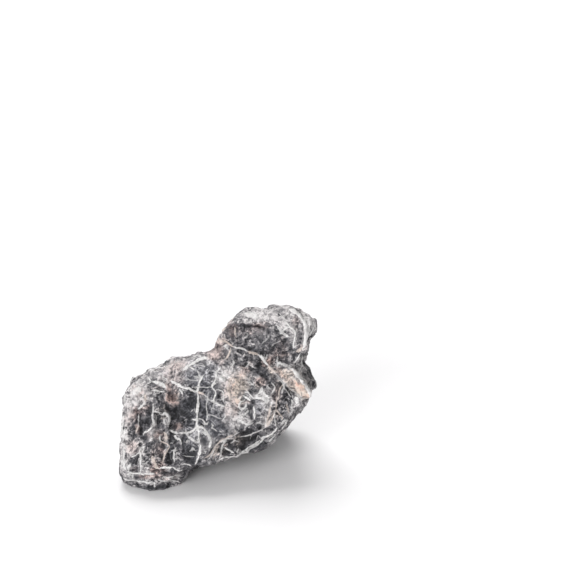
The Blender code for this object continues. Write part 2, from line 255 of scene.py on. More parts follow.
LOWER_VEINS = (
    # Around the crossing half way down the long vein
    calcite(1.0, 0.9, (-16, 25.9), (-14.3, 25.4), (-13.2, 24.8)),
    calcite(0.75, 0.8, (-12.4, 26.5), (-10.4, 25.9), (-9.2, 24.8), (-8.5, 23.6), (-7.2, 22.8),
            (-6.2, 24.3)),
    calcite(1.2, 0.85, (-13.2, 21.6), (-10.6, 21.6), (-8.8, 20.2)),
    calcite(1.5, 0.82, (-8.8, 20.2), (-7.2, 18), (-5.6, 15.6), (-4.7, 13.4), (-5, 11.4),
            (-5.6, 9.4)),
    calcite(0.8, 0.7, (-9.9, 18.6), (-8.6, 16.8), (-7.6, 16)),
    calcite(1.3, 0.9, (-29.3, 19.5), (-27.2, 18.2), (-24, 17.5)),
    calcite(1.1, 0.85, (-24, 17.5), (-21, 17.8), (-18.5, 18), (-15.6, 18.7), (-14.2, 20.2),
            (-13.3, 22)),
    calcite(1.3, 0.7, (-18.5, 15.3), (-15.8, 14.2), (-13.6, 12.4), (-11.6, 12.2)),
    calcite(0.7, 0.7, (-20, 20), (-19.4, 17), (-17.5, 15.2)),
    calcite(1.5, 0.8, (-26.4, 16.4), (-25.6, 14.6), (-24, 14)),
    calcite(0.8, 0.9, (-24, 14.6), (-22.8, 13.3), (-22.5, 11)),
    calcite(0.45, 0.5, (-22, 4.2), (-18, 3.9), (-14.5, 3.6)),
    calcite(0.9, 0.95, (-22.4, -0.8), (-20, -0.5), (-18, -0.9), (-16.3, -2.2)),
    calcite(0.9, 0.55, (-18.7, 13.3), (-19.2, 11.4)),
    calcite(1.2, 0.55, (-17.3, 7), (-15.6, 8.8), (-14.2, 7.6)),
    calcite(0.9, 0.55, (-16.9, 30.2), (-15.4, 31.4)),
    calcite(0.6, 0.5, (-20.6, 25), (-19, 26.2)),
    calcite(0.7, 0.7, (-4.6, 23.4), (-3.6, 21.8), (-4.4, 20.6), (-2.2, 19.6), (-1.2, 18.6)),
    calcite(0.7, 0.6, (0.2, 18.5), (2, 18.4)),
    calcite(0.8, 0.6, (-8.8, 7), (-7.4, 6.8), (-7.9, 5)),
    # The lower left: the bright bent vein, the upright one, and crusty ribs
    rust(1.5, 1.0, (-39.8, 3.6), (-38.8, 1.5), (-37.5, -0.8), (-36.7, -2.7), (-35.4, -3.6)),
    calcite(1.2, 1.0, (-35.6, -3.5), (-34, -2.8), (-32, -2.3), (-30, -2.6), (-27.5, -2.5)),
    calcite(0.8, 1.0, (-27.5, -2.5), (-26, -3.4), (-24.5, -4.3), (-21.6, -4.6)),
    calcite(1.0, 0.85, (-46.5, -5.4), (-46.4, -3), (-46.6, 0), (-46.3, 3), (-46.9, 5.6),
            (-47.5, 7.2)),
    calcite(1.0, 0.8, (-47.5, 7.2), (-46, 9), (-44, 9.9)),
    calcite(0.9, 0.8, (-52.2, 3.1), (-49.6, 4.5), (-48, 6.2)),
    calcite(1.6, 0.9, (-54.2, -4.6), (-53.8, -2.4), (-52.4, -0.8)),
    calcite(0.9, 0.6, (-45, -1), (-43, 0.2), (-41.6, 1.2)),
    rust(1.0, 0.8, (-29.4, 10), (-30.9, 7), (-32, 5.2), (-33, 2.6), (-33.1, 0.3)),
    rust(0.9, 0.9, (-34.6, 13.2), (-32.5, 12), (-30.4, 11), (-29.4, 10)),
    calcite(1.0, 0.8, (-25.4, 9.2), (-26.5, 7.5), (-26.6, 5), (-27, 3), (-26.2, 0.8)),
    calcite(0.6, 0.6, (-28.6, 7.4), (-26.6, 7.6), (-24.6, 7.4)),
    calcite(0.7, 0.6, (-29, 11.8), (-27, 11.6)),
    rust(1.4, 0.9, (-32.6, 18.2), (-31.5, 16), (-31, 13.8)),
    calcite(0.9, 0.9, (-35, 16.6), (-35.2, 14.6), (-34.9, 12.9)),
    calcite(1.1, 0.85, (-45.4, 16.4), (-44.5, 18), (-42.5, 18.8), (-41, 20.4), (-39.4, 21.8)),
    rust(0.9, 0.8, (-49.6, 18), (-48.6, 20.4), (-47.7, 22.6)),
    calcite(0.7, 0.6, (-41.5, 12.6), (-40, 14.4), (-38.6, 15.6)),
    # The left edge
    calcite(1.6, 0.8, (-58.9, 15.6), (-58.5, 19), (-58, 23), (-57.6, 28)),
    calcite(1.1, 0.8, (-57.2, 13), (-57, 16.4), (-56.3, 19.6)),
    calcite(1.0, 0.8, (-58.8, 4), (-58.3, 0.4), (-59, -2.4)),
    calcite(1.2, 0.9, (-57.2, 8.6), (-56.7, 5), (-57, 1), (-56.8, -2), (-55.8, -4.8)),
    calcite(0.8, 0.7, (-57.4, 12), (-56, 10), (-54.4, 8.4)),
    calcite(1.2, 0.7, (-57, 41), (-57.4, 37), (-57.3, 33)),
    # The band along the toe
    calcite(1.0, 0.95, (-55, -5.7), (-51, -6.5), (-48.5, -6.4), (-46, -6.4), (-44.8, -7.4)),
    calcite(1.1, 0.8, (-44.6, -6.6), (-42, -6.2), (-39.8, -6.6), (-38, -6.2)),
    calcite(0.8, 0.8, (-55, -6.9), (-52.4, -7.8), (-51, -8.6)),
    calcite(1.1, 0.95, (-38.4, -11.4), (-38.4, -14.8)),
    calcite(1.0, 0.8, (-58, -9.8), (-54.4, -11), (-51, -10.6), (-48, -11.4), (-45, -11)),
    calcite(1.0, 0.8, (-45, -11), (-42, -12), (-39.6, -11)),
    calcite(0.9, 0.8, (-36, -10.2), (-32, -11.4), (-28, -11.2), (-25, -11.8)),
    calcite(0.9, 0.8, (-33, -8.2), (-29, -8.8), (-25.4, -7.6), (-22.6, -9)),
)

UPPER_LEFT_VEINS = (
    calcite(3.6, 0.85, (-51.4, 41), (-49.4, 43), (-47, 44.4)),
    calcite(3.0, 0.85, (1.6, 53), (2, 50.4), (3, 48)),
    calcite(1.9, 1.0, (-40, 48), (-38.4, 47.9), (-36, 47.3), (-34, 46.1), (-32.2, 44.6)),
    calcite(0.9, 0.95, (-40.6, 43.1), (-38.6, 43), (-36.4, 42.8), (-34.6, 42.2), (-33, 41.9)),
    calcite(0.7, 0.7, (-39.4, 40.6), (-37.4, 41.2), (-35.6, 41.4)),
    calcite(1.0, 0.75, (-39.5, 35.2), (-39.2, 32.5), (-39.5, 30), (-40, 28), (-39.5, 25),
            (-39.3, 21.6)),
    calcite(0.8, 0.85, (-38.8, 29.8), (-37.2, 30.2), (-35.8, 29.6), (-35.6, 28.2)),
    calcite(0.7, 0.7, (-37.4, 28.4), (-37.8, 25), (-37.4, 22.4)),
    calcite(1.3, 0.75, (-34.6, 28), (-33, 29.3), (-31, 28.9), (-29.7, 27), (-29.8, 24.4),
            (-30.4, 22)),
    calcite(0.8, 0.7, (-33, 26), (-32.6, 23.6)),
    calcite(0.9, 0.95, (-48.8, 31.8), (-47, 33), (-45.6, 34.6), (-44.6, 36.4)),
    rust(1.3, 0.8, (-44.4, 40.6), (-44, 38), (-44.3, 36.2)),
    calcite(0.9, 0.8, (-47.6, 37.8), (-46, 39), (-45, 40)),
    calcite(0.6, 0.7, (-48.1, 28.5), (-48.3, 25), (-48, 21.8)),
    calcite(0.9, 0.8, (-42.4, 50.4), (-41, 47.8), (-43.4, 46.8)),
    calcite(1.0, 0.85, (-54.4, 47.8), (-51.4, 50.6), (-49, 52), (-46.4, 52.4)),
    calcite(0.9, 0.85, (-42.4, 54.4), (-39.6, 55), (-37.6, 56.4), (-35, 56.2)),
    calcite(0.9, 0.8, (-34, 50.8), (-32.4, 50.2), (-31, 49.2)),
    calcite(0.8, 0.6, (-36.4, 53), (-34.6, 52.4), (-34, 50.6)),
    calcite(1.6, 1.0, (-21.6, 54.9), (-19.6, 56.9), (-17.5, 58.2), (-15.5, 59.3), (-14, 60.4)),
    calcite(1.9, 1.0, (-14.6, 60), (-12, 61.2), (-9.8, 62), (-7.2, 62.3)),
    calcite(1.0, 0.95, (-17.9, 56.4), (-16.2, 56.1), (-14.9, 55.2)),
    calcite(1.0, 0.8, (-6.2, 58.5), (-5.4, 60)),
    calcite(0.8, 0.6, (-16.4, 62.4), (-13.4, 63.6), (-11, 63.4)),
    rust(0.9, 0.9, (6.9, 68.6), (6.5, 66), (5.1, 63.5), (3.4, 61.3)),
    calcite(0.9, 0.6, (2.9, 69.6), (4.3, 68.3), (5, 67.2)),
    calcite(0.8, 0.7, (8.7, 61), (8.8, 59), (7.4, 57.4)),
    calcite(0.8, 0.6, (12.8, 62.4), (14, 60.5)),
    calcite(1.2, 0.7, (3.2, 54), (4.8, 52.6), (6, 51), (7.4, 50.4)),
    calcite(0.7, 0.6, (18.4, 59.6), (17, 57.6), (15.6, 56.6)),
    calcite(0.6, 0.6, (18.6, 58), (20.4, 56.8), (22.4, 56.2)),
    rust(1.3, 0.9, (7.6, 50.6), (6.3, 48.6), (5.6, 46), (5.5, 43), (6.4, 40), (6.8, 37)),
)

CROWN_VEINS = (
    calcite(3.0, 0.85, (15.6, 89), (18, 88.6), (20.6, 87.6), (23, 86.6)),
    # Between face and crown, and on down to the ridge
    rust(1.3, 1.0, (-1.4, 71.2), (0.4, 72.4), (2.5, 72.4), (5, 71.3), (7, 69.8), (8.4, 68.9)),
    calcite(1.1, 0.95, (8.4, 68.9), (10.5, 68.4), (12.5, 68.1), (15, 67.3), (17.4, 66.1)),
    rust(1.2, 0.95, (17, 66.3), (18.8, 65.2), (21, 64.7), (23.5, 64.1)),
    calcite(1.3, 1.0, (23.5, 64.1), (25.4, 62.8), (26.6, 60.8), (28, 59), (29.6, 57.7)),
    rust(1.2, 1.0, (29.4, 57.8), (30.6, 56), (32.6, 54.8), (34.8, 54)),
    # Rim of the crown, left
    rust(1.2, 0.9, (-4.6, 69.8), (-3.5, 72), (-1.8, 74.2), (0.6, 77.2), (3, 80.6), (6, 84.6),
         (9, 86.6)),
    calcite(1.2, 0.9, (3, 80.8), (6, 84.8), (7.6, 86)),
    rust(0.8, 0.7, (9.3, 80.6), (9.5, 77.6), (9.9, 75)),
    # Faint swirls on its face
    calcite(0.7, 0.35, (14, 77.4), (16.4, 77.4), (17.4, 76), (15.8, 74)),
    calcite(0.8, 0.4, (25.8, 70.8), (27.8, 72.6), (30, 75.4)),
    calcite(0.6, 0.35, (31, 69), (34, 71.2), (37, 72.6)),
    # Long arcs on its right
    calcite(1.2, 1.0, (39, 84.6), (41, 82.8), (42.6, 81), (44.2, 79.6), (45.4, 78), (46, 76)),
    calcite(0.9, 0.9, (46, 76), (45.5, 73.5), (44.6, 71), (44.8, 68)),
    calcite(1.4, 0.8, (34.4, 81.8), (36.4, 79.6), (37.8, 77.6), (39.6, 76.2), (42, 75)),
    calcite(1.0, 0.8, (36.4, 76.6), (38.4, 78.8), (40.6, 80.4), (42.4, 80.6)),
    calcite(0.6, 0.7, (36.2, 89.2), (38, 87), (39.6, 85.8)),
    calcite(1.9, 1.0, (42, 91.6), (44.5, 90.6), (46.6, 89.5), (48.4, 88), (49.4, 86.2)),
    calcite(1.7, 1.0, (49.4, 86.2), (51, 84.4), (51.8, 82), (52, 79), (51.8, 76), (51.5, 73),
            (51.2, 70), (50.3, 67.2)),
    calcite(1.1, 0.9, (51, 85), (53.6, 85), (54.6, 82.6), (54, 79), (53.2, 76), (52.4, 72)),
    calcite(0.9, 0.7, (56.6, 84), (57.4, 81.6), (56, 78.4), (54.6, 75.4)),
    rust(1.6, 0.8, (50.6, 68.8), (48.8, 67.4), (46.6, 65.8)),
    # Between crown and ridge
    calcite(1.0, 0.9, (45, 58.6), (46.4, 61), (48, 63), (48.6, 64.8)),
    calcite(0.8, 0.9, (50.2, 64), (49.7, 60.6), (49.9, 57.6), (48.8, 54.6), (47.6, 52.8)),
    calcite(0.9, 0.7, (34.7, 56), (35, 58.5), (34.6, 60.5), (35.2, 63.2)),
    calcite(1.0, 0.6, (28.4, 61.4), (28.9, 64.4)),
    calcite(0.6, 0.5, (42.6, 60), (42.9, 63.6)),
    # Crest and foot of the ridge
    calcite(1.6, 0.9, (34.4, 59.2), (36.6, 59), (39, 58.2), (41.5, 57.2), (44, 55.9)),
    calcite(2.2, 1.0, (44, 55.9), (46, 53.6), (47.8, 51.4), (49.7, 49), (51.6, 46.9),
            (53.6, 44), (54.8, 41), (54.6, 38.8)),
    calcite(0.8, 0.4, (32.4, 54.8), (34.5, 52.4), (36.5, 50), (39.5, 47.6), (42, 44.6)),
    calcite(0.8, 0.45, (42, 44.6), (45, 42.3), (48, 39.8), (50.5, 37.6), (52.8, 38.2)),
)

RIGHT_VEINS = (
    # The long thin tan vein and its fan of strands
    rust(0.8, 0.9, (38.5, 46.5), (37, 44.5), (36, 42), (35.7, 39.5), (34.7, 37), (34.2, 34),
         (33.8, 31)),
    rust(0.8, 0.95, (33.8, 31), (33, 28.5), (31.6, 25.6), (30, 23), (28.4, 21)),
    calcite(0.7, 0.7, (28.4, 21), (26.5, 19.8), (24.5, 19), (22, 18), (19.5, 16.8), (17, 16),
            (14.5, 15.6), (12.4, 15)),
    calcite(1.1, 0.7, (39, 47.2), (38.7, 44.4), (37.6, 41.6)),
    calcite(0.8, 0.7, (39, 44.2), (40.5, 42.2), (42, 40.6), (43.2, 38.8)),
    calcite(0.7, 0.7, (43.2, 37.8), (43.8, 35), (43.5, 32.5), (44, 31), (43, 28.8), (42, 27.2)),
    calcite(1.0, 0.6, (33.5, 31), (33, 27.4), (33.8, 24.2), (34, 21.4)),
    rust(0.8, 0.8, (34, 31.4), (36, 29), (37.6, 27), (38.2, 25.2)),
    rust(1.0, 0.6, (40.3, 34.6), (41.5, 31.6), (42, 29.2)),
    rust(1.1, 0.8, (31.2, 34), (30.3, 30), (29.5, 27), (28.5, 24), (28, 21.4)),
    calcite(0.8, 0.8, (27.8, 29.4), (28.1, 25.2), (28.3, 22)),
    calcite(0.7, 0.6, (31.6, 47.4), (33.4, 45), (33, 42.6), (31.4, 41)),
    calcite(0.6, 0.6, (28.6, 45.6), (30, 44.2), (31.4, 43.2)),
    calcite(0.6, 0.6, (35, 50), (36.8, 48.4), (38.6, 47)),
    # The white splashes and the ring in the middle right
    calcite(3.4, 0.95, (27.4, 40), (28.4, 38), (28.8, 35.6)),
    calcite(2.6, 0.95, (46, 38.8), (46.6, 36.8), (46.6, 34.8)),
    calcite(1.1, 1.0, (25.5, 44.6), (24.5, 42.6), (24.8, 41.4), (23, 40.6)),
    calcite(1.1, 1.0, (25.5, 44.2), (26.5, 41.8), (27.6, 40.2)),
    calcite(1.2, 1.0, (20.2, 38.1), (23, 38.4), (26, 38.1), (28, 37.2)),
    calcite(1.0, 0.95, (14.6, 39.9), (16.5, 38.4), (18.8, 36.9)),
    calcite(0.9, 0.9, (15.2, 41.9), (17.5, 41.6), (18.8, 40.1), (20.2, 38.3)),
    calcite(1.3, 1.0, (20.9, 33.2), (21.3, 31), (21, 28.6), (21.3, 25.8)),
    calcite(1.0, 0.95, (16, 35.8), (16.4, 33.6), (15, 31.9), (13.3, 31.6), (12, 32.6),
            (11.7, 34.6), (13, 36.2), (14.8, 36.6)),
    calcite(0.9, 0.6, (22.8, 26.8), (25.8, 26.9)),
    calcite(0.8, 0.6, (22.4, 22.6), (24, 23.6), (26.2, 23)),
    calcite(0.7, 0.7, (17, 47.8), (18.8, 47.6), (21, 45.6)),
    calcite(1.2, 0.7, (18.2, 31), (16.6, 29.8), (15.4, 28.2)),
    calcite(1.6, 0.8, (10.4, 26), (12, 25), (14, 24.2), (16.4, 23), (17, 21.4)),
    calcite(0.9, 0.6, (10.8, 30.2), (13, 28.6), (14.8, 26.2)),
    calcite(0.7, 0.7, (9.2, 16.6), (10.8, 17.4), (12.6, 18.2)),
    calcite(0.7, 0.7, (16.4, 21.4), (18.6, 23), (21, 23.4)),
    # Edges of the lower right break, and bedding lines along it
    calcite(1.2, 0.9, (35, 20.4), (33, 18), (31, 16.3), (29.4, 15.3), (27, 14.8), (25, 14)),
    calcite(0.9, 0.8, (26.6, 15), (26, 13), (25, 11.4)),
    calcite(1.2, 0.8, (29.8, 11.8), (31.6, 13.6), (33.6, 15.6)),
    calcite(1.3, 0.95, (40.6, 23.8), (39.5, 21.2), (37.8, 19.6)),
    calcite(0.9, 0.8, (41.4, 25), (39, 24.6), (37, 22.4)),
    calcite(0.9, 0.75, (25, 13), (23, 11.6), (20.5, 9.9), (18.4, 9), (16.5, 7.6), (14, 5.9),
            (12, 4.6)),
    calcite(0.7, 0.7, (24.8, 11), (21.5, 9.2), (19, 7.6), (16, 6)),
    calcite(1.1, 0.9, (12, 8), (10.6, 6)),
    calcite(1.0, 0.9, (3.8, 9.4), (5, 8), (7.5, 6.6), (9.2, 5.6)),
    calcite(1.0, 0.9, (0, 1.8), (3, 2.9), (7, 3.2), (10, 3.4), (14, 4.9), (18, 5.6)),
    rust(0.9, 0.65, (-8.6, 2.6), (-5.5, 4.5), (-3.5, 7), (-2, 9.5), (-0.4, 11.5), (1.6, 13.2),
         (4, 14.2), (6.5, 15.6), (8.6, 16.6)),
    calcite(1.0, 0.55, (0.6, 3.4), (1.2, 6.2), (1.8, 9.2), (3, 12), (5, 14.2)),
    rust(0.8, 0.55, (-3.2, 1.6), (-2.6, 4.2), (-1.4, 7.2), (0.2, 10)),
    calcite(0.6, 0.5, (-6.4, 1.4), (-4.4, 4.6), (-2.6, 8)),
    calcite(0.7, 0.6, (0.4, 12.2), (3.4, 13.4), (6.8, 14.4)),
    calcite(0.7, 0.6, (12, 12), (9.6, 13.4), (7.4, 11.6)),
    calcite(0.5, 0.5, (18.6, 13.6), (19.4, 15.6)),
    calcite(0.5, 0.5, (22.8, 13.4), (23.4, 16)),
)

SHEETS = (
    Sheet((-12.5, 0, 40), (0.97, 0.12, 0.2), 1.2, 0.95, 3.0),
    Sheet((20, 34, 44), (0.42, -0.3, 0.85), 1.3, 0.95, 4.0),
    Sheet((50, 16, 66), (0.87, 0.42, -0.25), 1.4, 0.95, 3.0),
    Sheet((-40, 20, 24), (0.62, 0.5, 0.6), 1.1, 0.9, 4.0),
    Sheet((0, 24, 26), (0.16, 0.32, 0.93), 0.9, 0.85, 5.0),
    Sheet((26, 20, 22), (0.75, -0.6, 0.25), 0.9, 0.85, 4.0),
    Sheet((-26, 30, 40), (-0.45, 0.1, 0.88), 0.8, 0.8, 5.0),
    Sheet((4, 36, 60), (0.9, -0.1, -0.42), 0.8, 0.8, 4.0),
    Sheet((36, 30, 70), (-0.3, 0.5, 0.81), 0.8, 0.85, 4.0),
    Sheet((-50, 6, 14), (0.35, -0.5, 0.79), 0.8, 0.8, 3.0),
    Sheet((42, 20, 40), (0.3, 0.25, -0.92), 1.0, 0.85, 4.0),
    Sheet((-2, 30, 14), (0.82, 0.5, 0.28), 0.7, 0.75, 4.0),
)

SHOULDER_PATCHES = (
    *patches(
        Tone.PALE,
        (-31, 56.5, 8, 3.6, 0.72, 22), (-29, 58.6, 2, 1.4, 0.9), (-22, 59.5, 5, 3, 0.5, 15),
        (-12, 62, 6, 2, 0.4, 20), (-36, 51.5, 4, 3, 0.55), (-31, 50.5, 5, 2, 0.62, -40),
        (-49.4, 43.4, 5, 4, 1.0), (-48, 43.6, 4, 3, 0.8), (-50.4, 42, 3, 4, 0.6),
        (-36.6, 47, 2.4, 2, 0.4), (-30.4, 37.6, 1.8, 3, 0.35), (-44, 36.6, 2.6, 2, 0.5),
        (-37.4, 23, 1.4, 3, 0.3), (-51.6, 39, 3.4, 5, 0.8), (-49.6, 35, 4, 1.6, 0.75, 10),
        (-46, 39.4, 1.6, 3.4, 0.62), (-46.5, 48.6, 5, 2, 0.4, 25), (-41, 54, 3, 1.4, 0.5, 30),
        (-42.4, 42, 4, 2.6, 0.6), (-39.6, 35, 1.5, 2.6, 0.35), (-24.5, 44.4, 3.4, 3, 0.55, -20),
        (-29.6, 36.2, 4, 4, 0.7), (-28, 34, 1.8, 4, 0.5), (-31, 46, 2, 2, 0.6),
        (-18, 48, 4, 1.6, 0.4), (-45, 26, 1.6, 3, 0.4), (-24.6, 38, 2.6, 3, 0.8),
        (-27, 52, 6, 3, 0.45, 10), (-16, 56, 5, 2, 0.3), (-20, 45.6, 3, 1.4, 0.35, -15),
        (-31.4, 43.6, 2, 3, 0.4), (-54, 27, 2.6, 6, 0.9), (-52.4, 26, 2.2, 2.6, 0.6),
        (-53, 33, 2.4, 3, 0.5), (-9, 52, 2.4, 4, 0.2), (-4, 64, 4, 5, 0.5, 20),
        (-5, 56.6, 3, 3, 0.5), (-16.6, 25.4, 3, 2, 0.5), (-4, 25, 2.6, 2.4, 0.35),
        (-20.4, 49, 2.4, 2.2, 0.4), (-9, 53.8, 3, 1.6, 0.4), (-38.4, 42.4, 2, 2.4, 0.35),
        (-37.6, 36.6, 2, 2, 0.4), (-54, 25.6, 1.8, 1.6, 0.5), (-38.6, 21, 2, 1.6, 0.4),
        (-37.6, 21.6, 1.6, 2, 0.4), (-0.6, 20.6, 1.6, 3, 0.3), (-8, 38.6, 3.4, 3, 0.45),
    ),
    *patches(
        Tone.PINK,
        (-25, 57.4, 8, 3.6, 0.7, 20), (-24, 50, 4, 4, 0.5), (-32, 50, 6, 3, 0.4, -30),
        (-44.6, 36.6, 2.4, 4, 0.3), (-50, 45, 3, 2, 0.35), (-48, 41.6, 4, 3, 0.6),
        (-50, 28.6, 3, 4, 0.85), (-30.6, 45, 2.4, 2.4, 0.7), (-54.4, 25, 3, 7, 0.35),
        (-3, 66.4, 5, 5, 0.95, 30), (-3, 62, 3.4, 2, 0.9), (0.6, 71.6, 4, 2.4, 0.8, 20),
        (1, 59, 2, 3, 0.4),
    ),
    *patches(
        Tone.BROWN,
        (-28.2, 38.4, 3.6, 4.6, 0.95), (-26, 35, 2.4, 2, 0.6), (-47, 30.4, 4.4, 2.6, 0.5),
        (-37, 44, 4, 1.4, 0.35), (-43, 33, 3, 2, 0.4),
    ),
    *patches(
        Tone.OCHRE,
        (-24.4, 39, 2, 3, 0.5), (-10, 38.8, 2.6, 2, 0.5), (-33.6, 30, 3.4, 4, 0.8),
    ),
    *patches(
        Tone.DARK,
        (-27.6, 40.4, 1.1, 1.6, 0.6), (-37, 44.4, 4, 1.3, 0.4, -8), (-35.6, 39.4, 3, 4, 0.6),
        (-33, 32, 2.6, 4.4, 0.8), (-31.4, 32.4, 2.2, 3, 0.8), (-41.4, 28, 1.8, 3.6, 0.6),
        (-33.4, 29.6, 1.6, 2.4, 0.4), (-33.6, 42.2, 2.2, 2.4, 0.7), (-33, 49.6, 1.8, 1.8, 0.3),
        (-27, 45, 1.4, 2, 0.3), (-22.4, 39, 2, 2, 0.4), (-33, 30.4, 2, 2, 0.5),
        (-22, 30, 2, 2.4, 0.3), (-3.6, 45.4, 3.6, 2, 0.4), (-48.4, 26.6, 2, 3, 0.75),
        (-52, 21.6, 2, 2, 0.4), (-42, 21.4, 1.8, 2, 0.4), (-3.4, 57, 2, 2.2, 0.5),
        (-42, 32, 1.8, 2.6, 0.4), (-21.6, 31, 2.6, 6, 0.6), (-33, 19, 2, 2.4, 0.5),
        (-49, 38.2, 1.6, 1, 0.5), (-17.4, 36, 5, 6, 0.56), (-23, 29.4, 4.6, 5, 1.0),
        (-18.6, 28.6, 3.4, 3, 0.55), (-27, 22.6, 1.9, 4, 0.9), (-9.6, 31, 2, 4, 0.4),
        (-39.6, 30, 1.6, 3, 0.4), (-12.8, 34, 1.8, 4.4, 0.9), (-6.4, 22, 2, 2, 0.35),
        (-9, 47.6, 3, 2.4, 0.45),
    ),
    *patches(
        Tone.SLATE,
        (-14, 52, 8, 6, 0.9), (-8, 40, 6, 8, 0.75), (-6, 28, 8, 8, 0.9), (-17.5, 33, 4.6, 7, 0.7),
        (-2, 19, 8, 4, 0.9), (-18, 14, 6, 6, 0.6), (-16, 4, 6, 6, 0.5), (-4, 55, 5, 5, 0.6),
        (-35, 53, 4, 2.6, 0.6), (24, 32, 4, 6, 0.7), (-18.6, 19, 3, 6, 0.6), (-12, 25, 4, 5, 0.5),
        (-14, 49, 6, 3, 0.5), (-18, 60, 6, 2.6, 0.5),
    ),
)

LOWER_LEFT_PATCHES = (
    *patches(
        Tone.DARK,
        (-43.4, 26, 3.2, 4, 0.7), (-36.5, 25.4, 1.3, 3.2, 0.95), (-51.8, 18, 2.8, 4, 0.72),
        (-46.4, 18.6, 1.6, 3, 0.7), (-28, 15, 1.8, 5, 0.85), (-18, 17.4, 3, 1.8, 0.5),
        (-26, 13, 1.4, 2, 0.5), (-42, 6, 2, 2, 0.5), (-4, 7.6, 1.6, 3, 0.5),
        (-51.4, -13, 2, 1.4, 0.4), (-42.4, -8, 1.6, 1.8, 0.45), (-18.8, 18, 2.2, 2.2, 0.5),
        (-52, -3, 2, 1.6, 0.4), (-36.4, -5, 2, 1.8, 0.4), (-43, -7.4, 2, 1, 0.4),
        (-17, 14, 2, 1.4, 0.4), (-8.6, 17, 1.6, 1.6, 0.4), (-20, 1, 2, 1.4, 0.3),
        (-59, -10, 1.6, 3, 0.4), (-48, -3, 2.4, 1.6, 0.4), (-59, -9, 2, 3, 0.5),
        (-25, 15, 1.6, 2, 0.3), (-13.6, 12.6, 1.4, 3, 0.6), (5, 20.6, 3, 2, 0.4),
        (-21.2, 13, 1.8, 3, 0.8), (-17.4, 23.4, 2.4, 2, 0.3), (-10.2, 14, 2.2, 4, 0.55),
        (-17.6, 7, 4, 5, 1.0), (-14, 1.6, 3.4, 4, 1.0), (-7.4, 12.4, 1.6, 2.4, 0.35),
        (-28.2, 3.6, 2.2, 4.6, 0.95), (-34.2, 3, 1.3, 2.6, 0.6), (-49.6, 4.6, 2, 2.4, 0.6),
        (-50.6, 0.6, 2.8, 3, 0.55), (-28, -6, 5.4, 1.7, 0.45), (-18, -1.6, 4, 1.4, 0.3),
        # The dark patches at (-38, -15.6) and (-33.4, -15) paint the shade on the toe's underside
        (-54, -13.6, 3, 1.6, 0.4, -12), (-38, -15.6, 5, 1.6, 1.0), (-33.4, -15, 4, 1.8, 0.95, 8),
        (-37, -8.6, 3, 1.8, 0.45), (-47.4, -8.2, 2.6, 0.8, 0.5, -20), (-36.4, -3.6, 3, 2, 0.5),
        (-53, -4.6, 1.8, 1.8, 0.4),
    ),
    *patches(
        Tone.PALE,
        (-56.2, -8, 1.6, 1.8, 0.5), (-48.4, -9.8, 2, 1.4, 0.45), (-29, 11.6, 1.8, 1.8, 0.45),
        (-55, 11.4, 2.2, 1.6, 0.8), (-11.4, 14, 1.8, 1.2, 0.4, -30), (-29, -1.6, 2, 1.4, 0.45),
        (-44.4, -2.4, 2.4, 3, 0.4), (-32, 26, 2, 4.6, 0.35), (-30.6, 25.4, 1, 3.4, 0.5),
        (-39.4, 19.6, 2.4, 3.4, 0.75), (-37.4, 14, 3, 4, 0.4), (-20.4, 11.4, 1.8, 2.2, 0.4),
        (-6.4, 14, 3.4, 1.6, 0.4), (-14, 16.6, 4.6, 3.4, 0.8, -10), (-13, 16, 2, 2, 0.5),
        (-15, 54.4, 2.4, 1.6, 0.3), (-25, 20.8, 3, 1.8, 0.5), (-24.8, 15, 1.4, 2.8, 0.5),
        (-18.2, 12, 1.3, 2.2, 0.6), (-15.4, 9.4, 1.3, 1.6, 0.5), (-23, 3, 1.6, 3, 0.3),
        (-7.6, 18.6, 2, 3, 0.5, 40), (-5.2, 12.6, 1.4, 4.4, 0.6), (-11.2, 5, 2, 6, 0.45, -14),
        (-54.2, 8.6, 3.4, 6, 0.85), (-45.4, 9.4, 2.4, 3.4, 0.9), (-57.6, 10, 1.6, 8, 0.7),
        (-56.6, -3, 2, 5, 0.62), (-44, -6.4, 7, 1.6, 0.5, -2), (-31, -9, 5, 2, 0.85),
        (-25.4, -8.6, 3, 2.4, 0.6, 20), (-38.5, -12.6, 1.2, 2, 0.55), (-47, -11, 5, 2.2, 0.55, -18),
        (-31, 11.4, 2.4, 2, 0.4), (-38, 2, 1.8, 2.4, 0.4), (-21.6, -4, 3, 1.4, 0.3),
        (-55, -8.6, 3, 1.4, 0.3),
    ),
    *patches(
        Tone.PINK,
        (-32.2, 15.4, 2.2, 3.2, 0.8), (-41.6, 17, 3, 2.4, 0.5), (-52, 9, 4, 4, 0.7),
        (-38.4, 1, 1.8, 5, 0.8, 18), (-30.6, -9, 5, 2, 0.6), (-43, -7.4, 6, 1.6, 0.45),
        (-48, 5, 2, 5, 0.25),
    ),
    *patches(
        Tone.BROWN,
        (-35.4, 8, 3.6, 5, 0.55, 10), (-33.4, 5, 1.8, 4, 0.35), (-38.4, -4.6, 2.8, 3, 0.9),
        (-34, -2.6, 2.6, 2.4, 0.9), (-36, 17, 2.6, 3, 0.6), (-48.6, 20.6, 1.4, 3, 0.8),
        (-24.4, 22, 3, 2.8, 0.8), (-50.4, -3, 3, 2, 0.5), (-45, -8.8, 4, 1, 0.6),
        (-28, -6, 5, 1.6, 0.5), (-38, -8.4, 4, 2, 0.4),
    ),
)

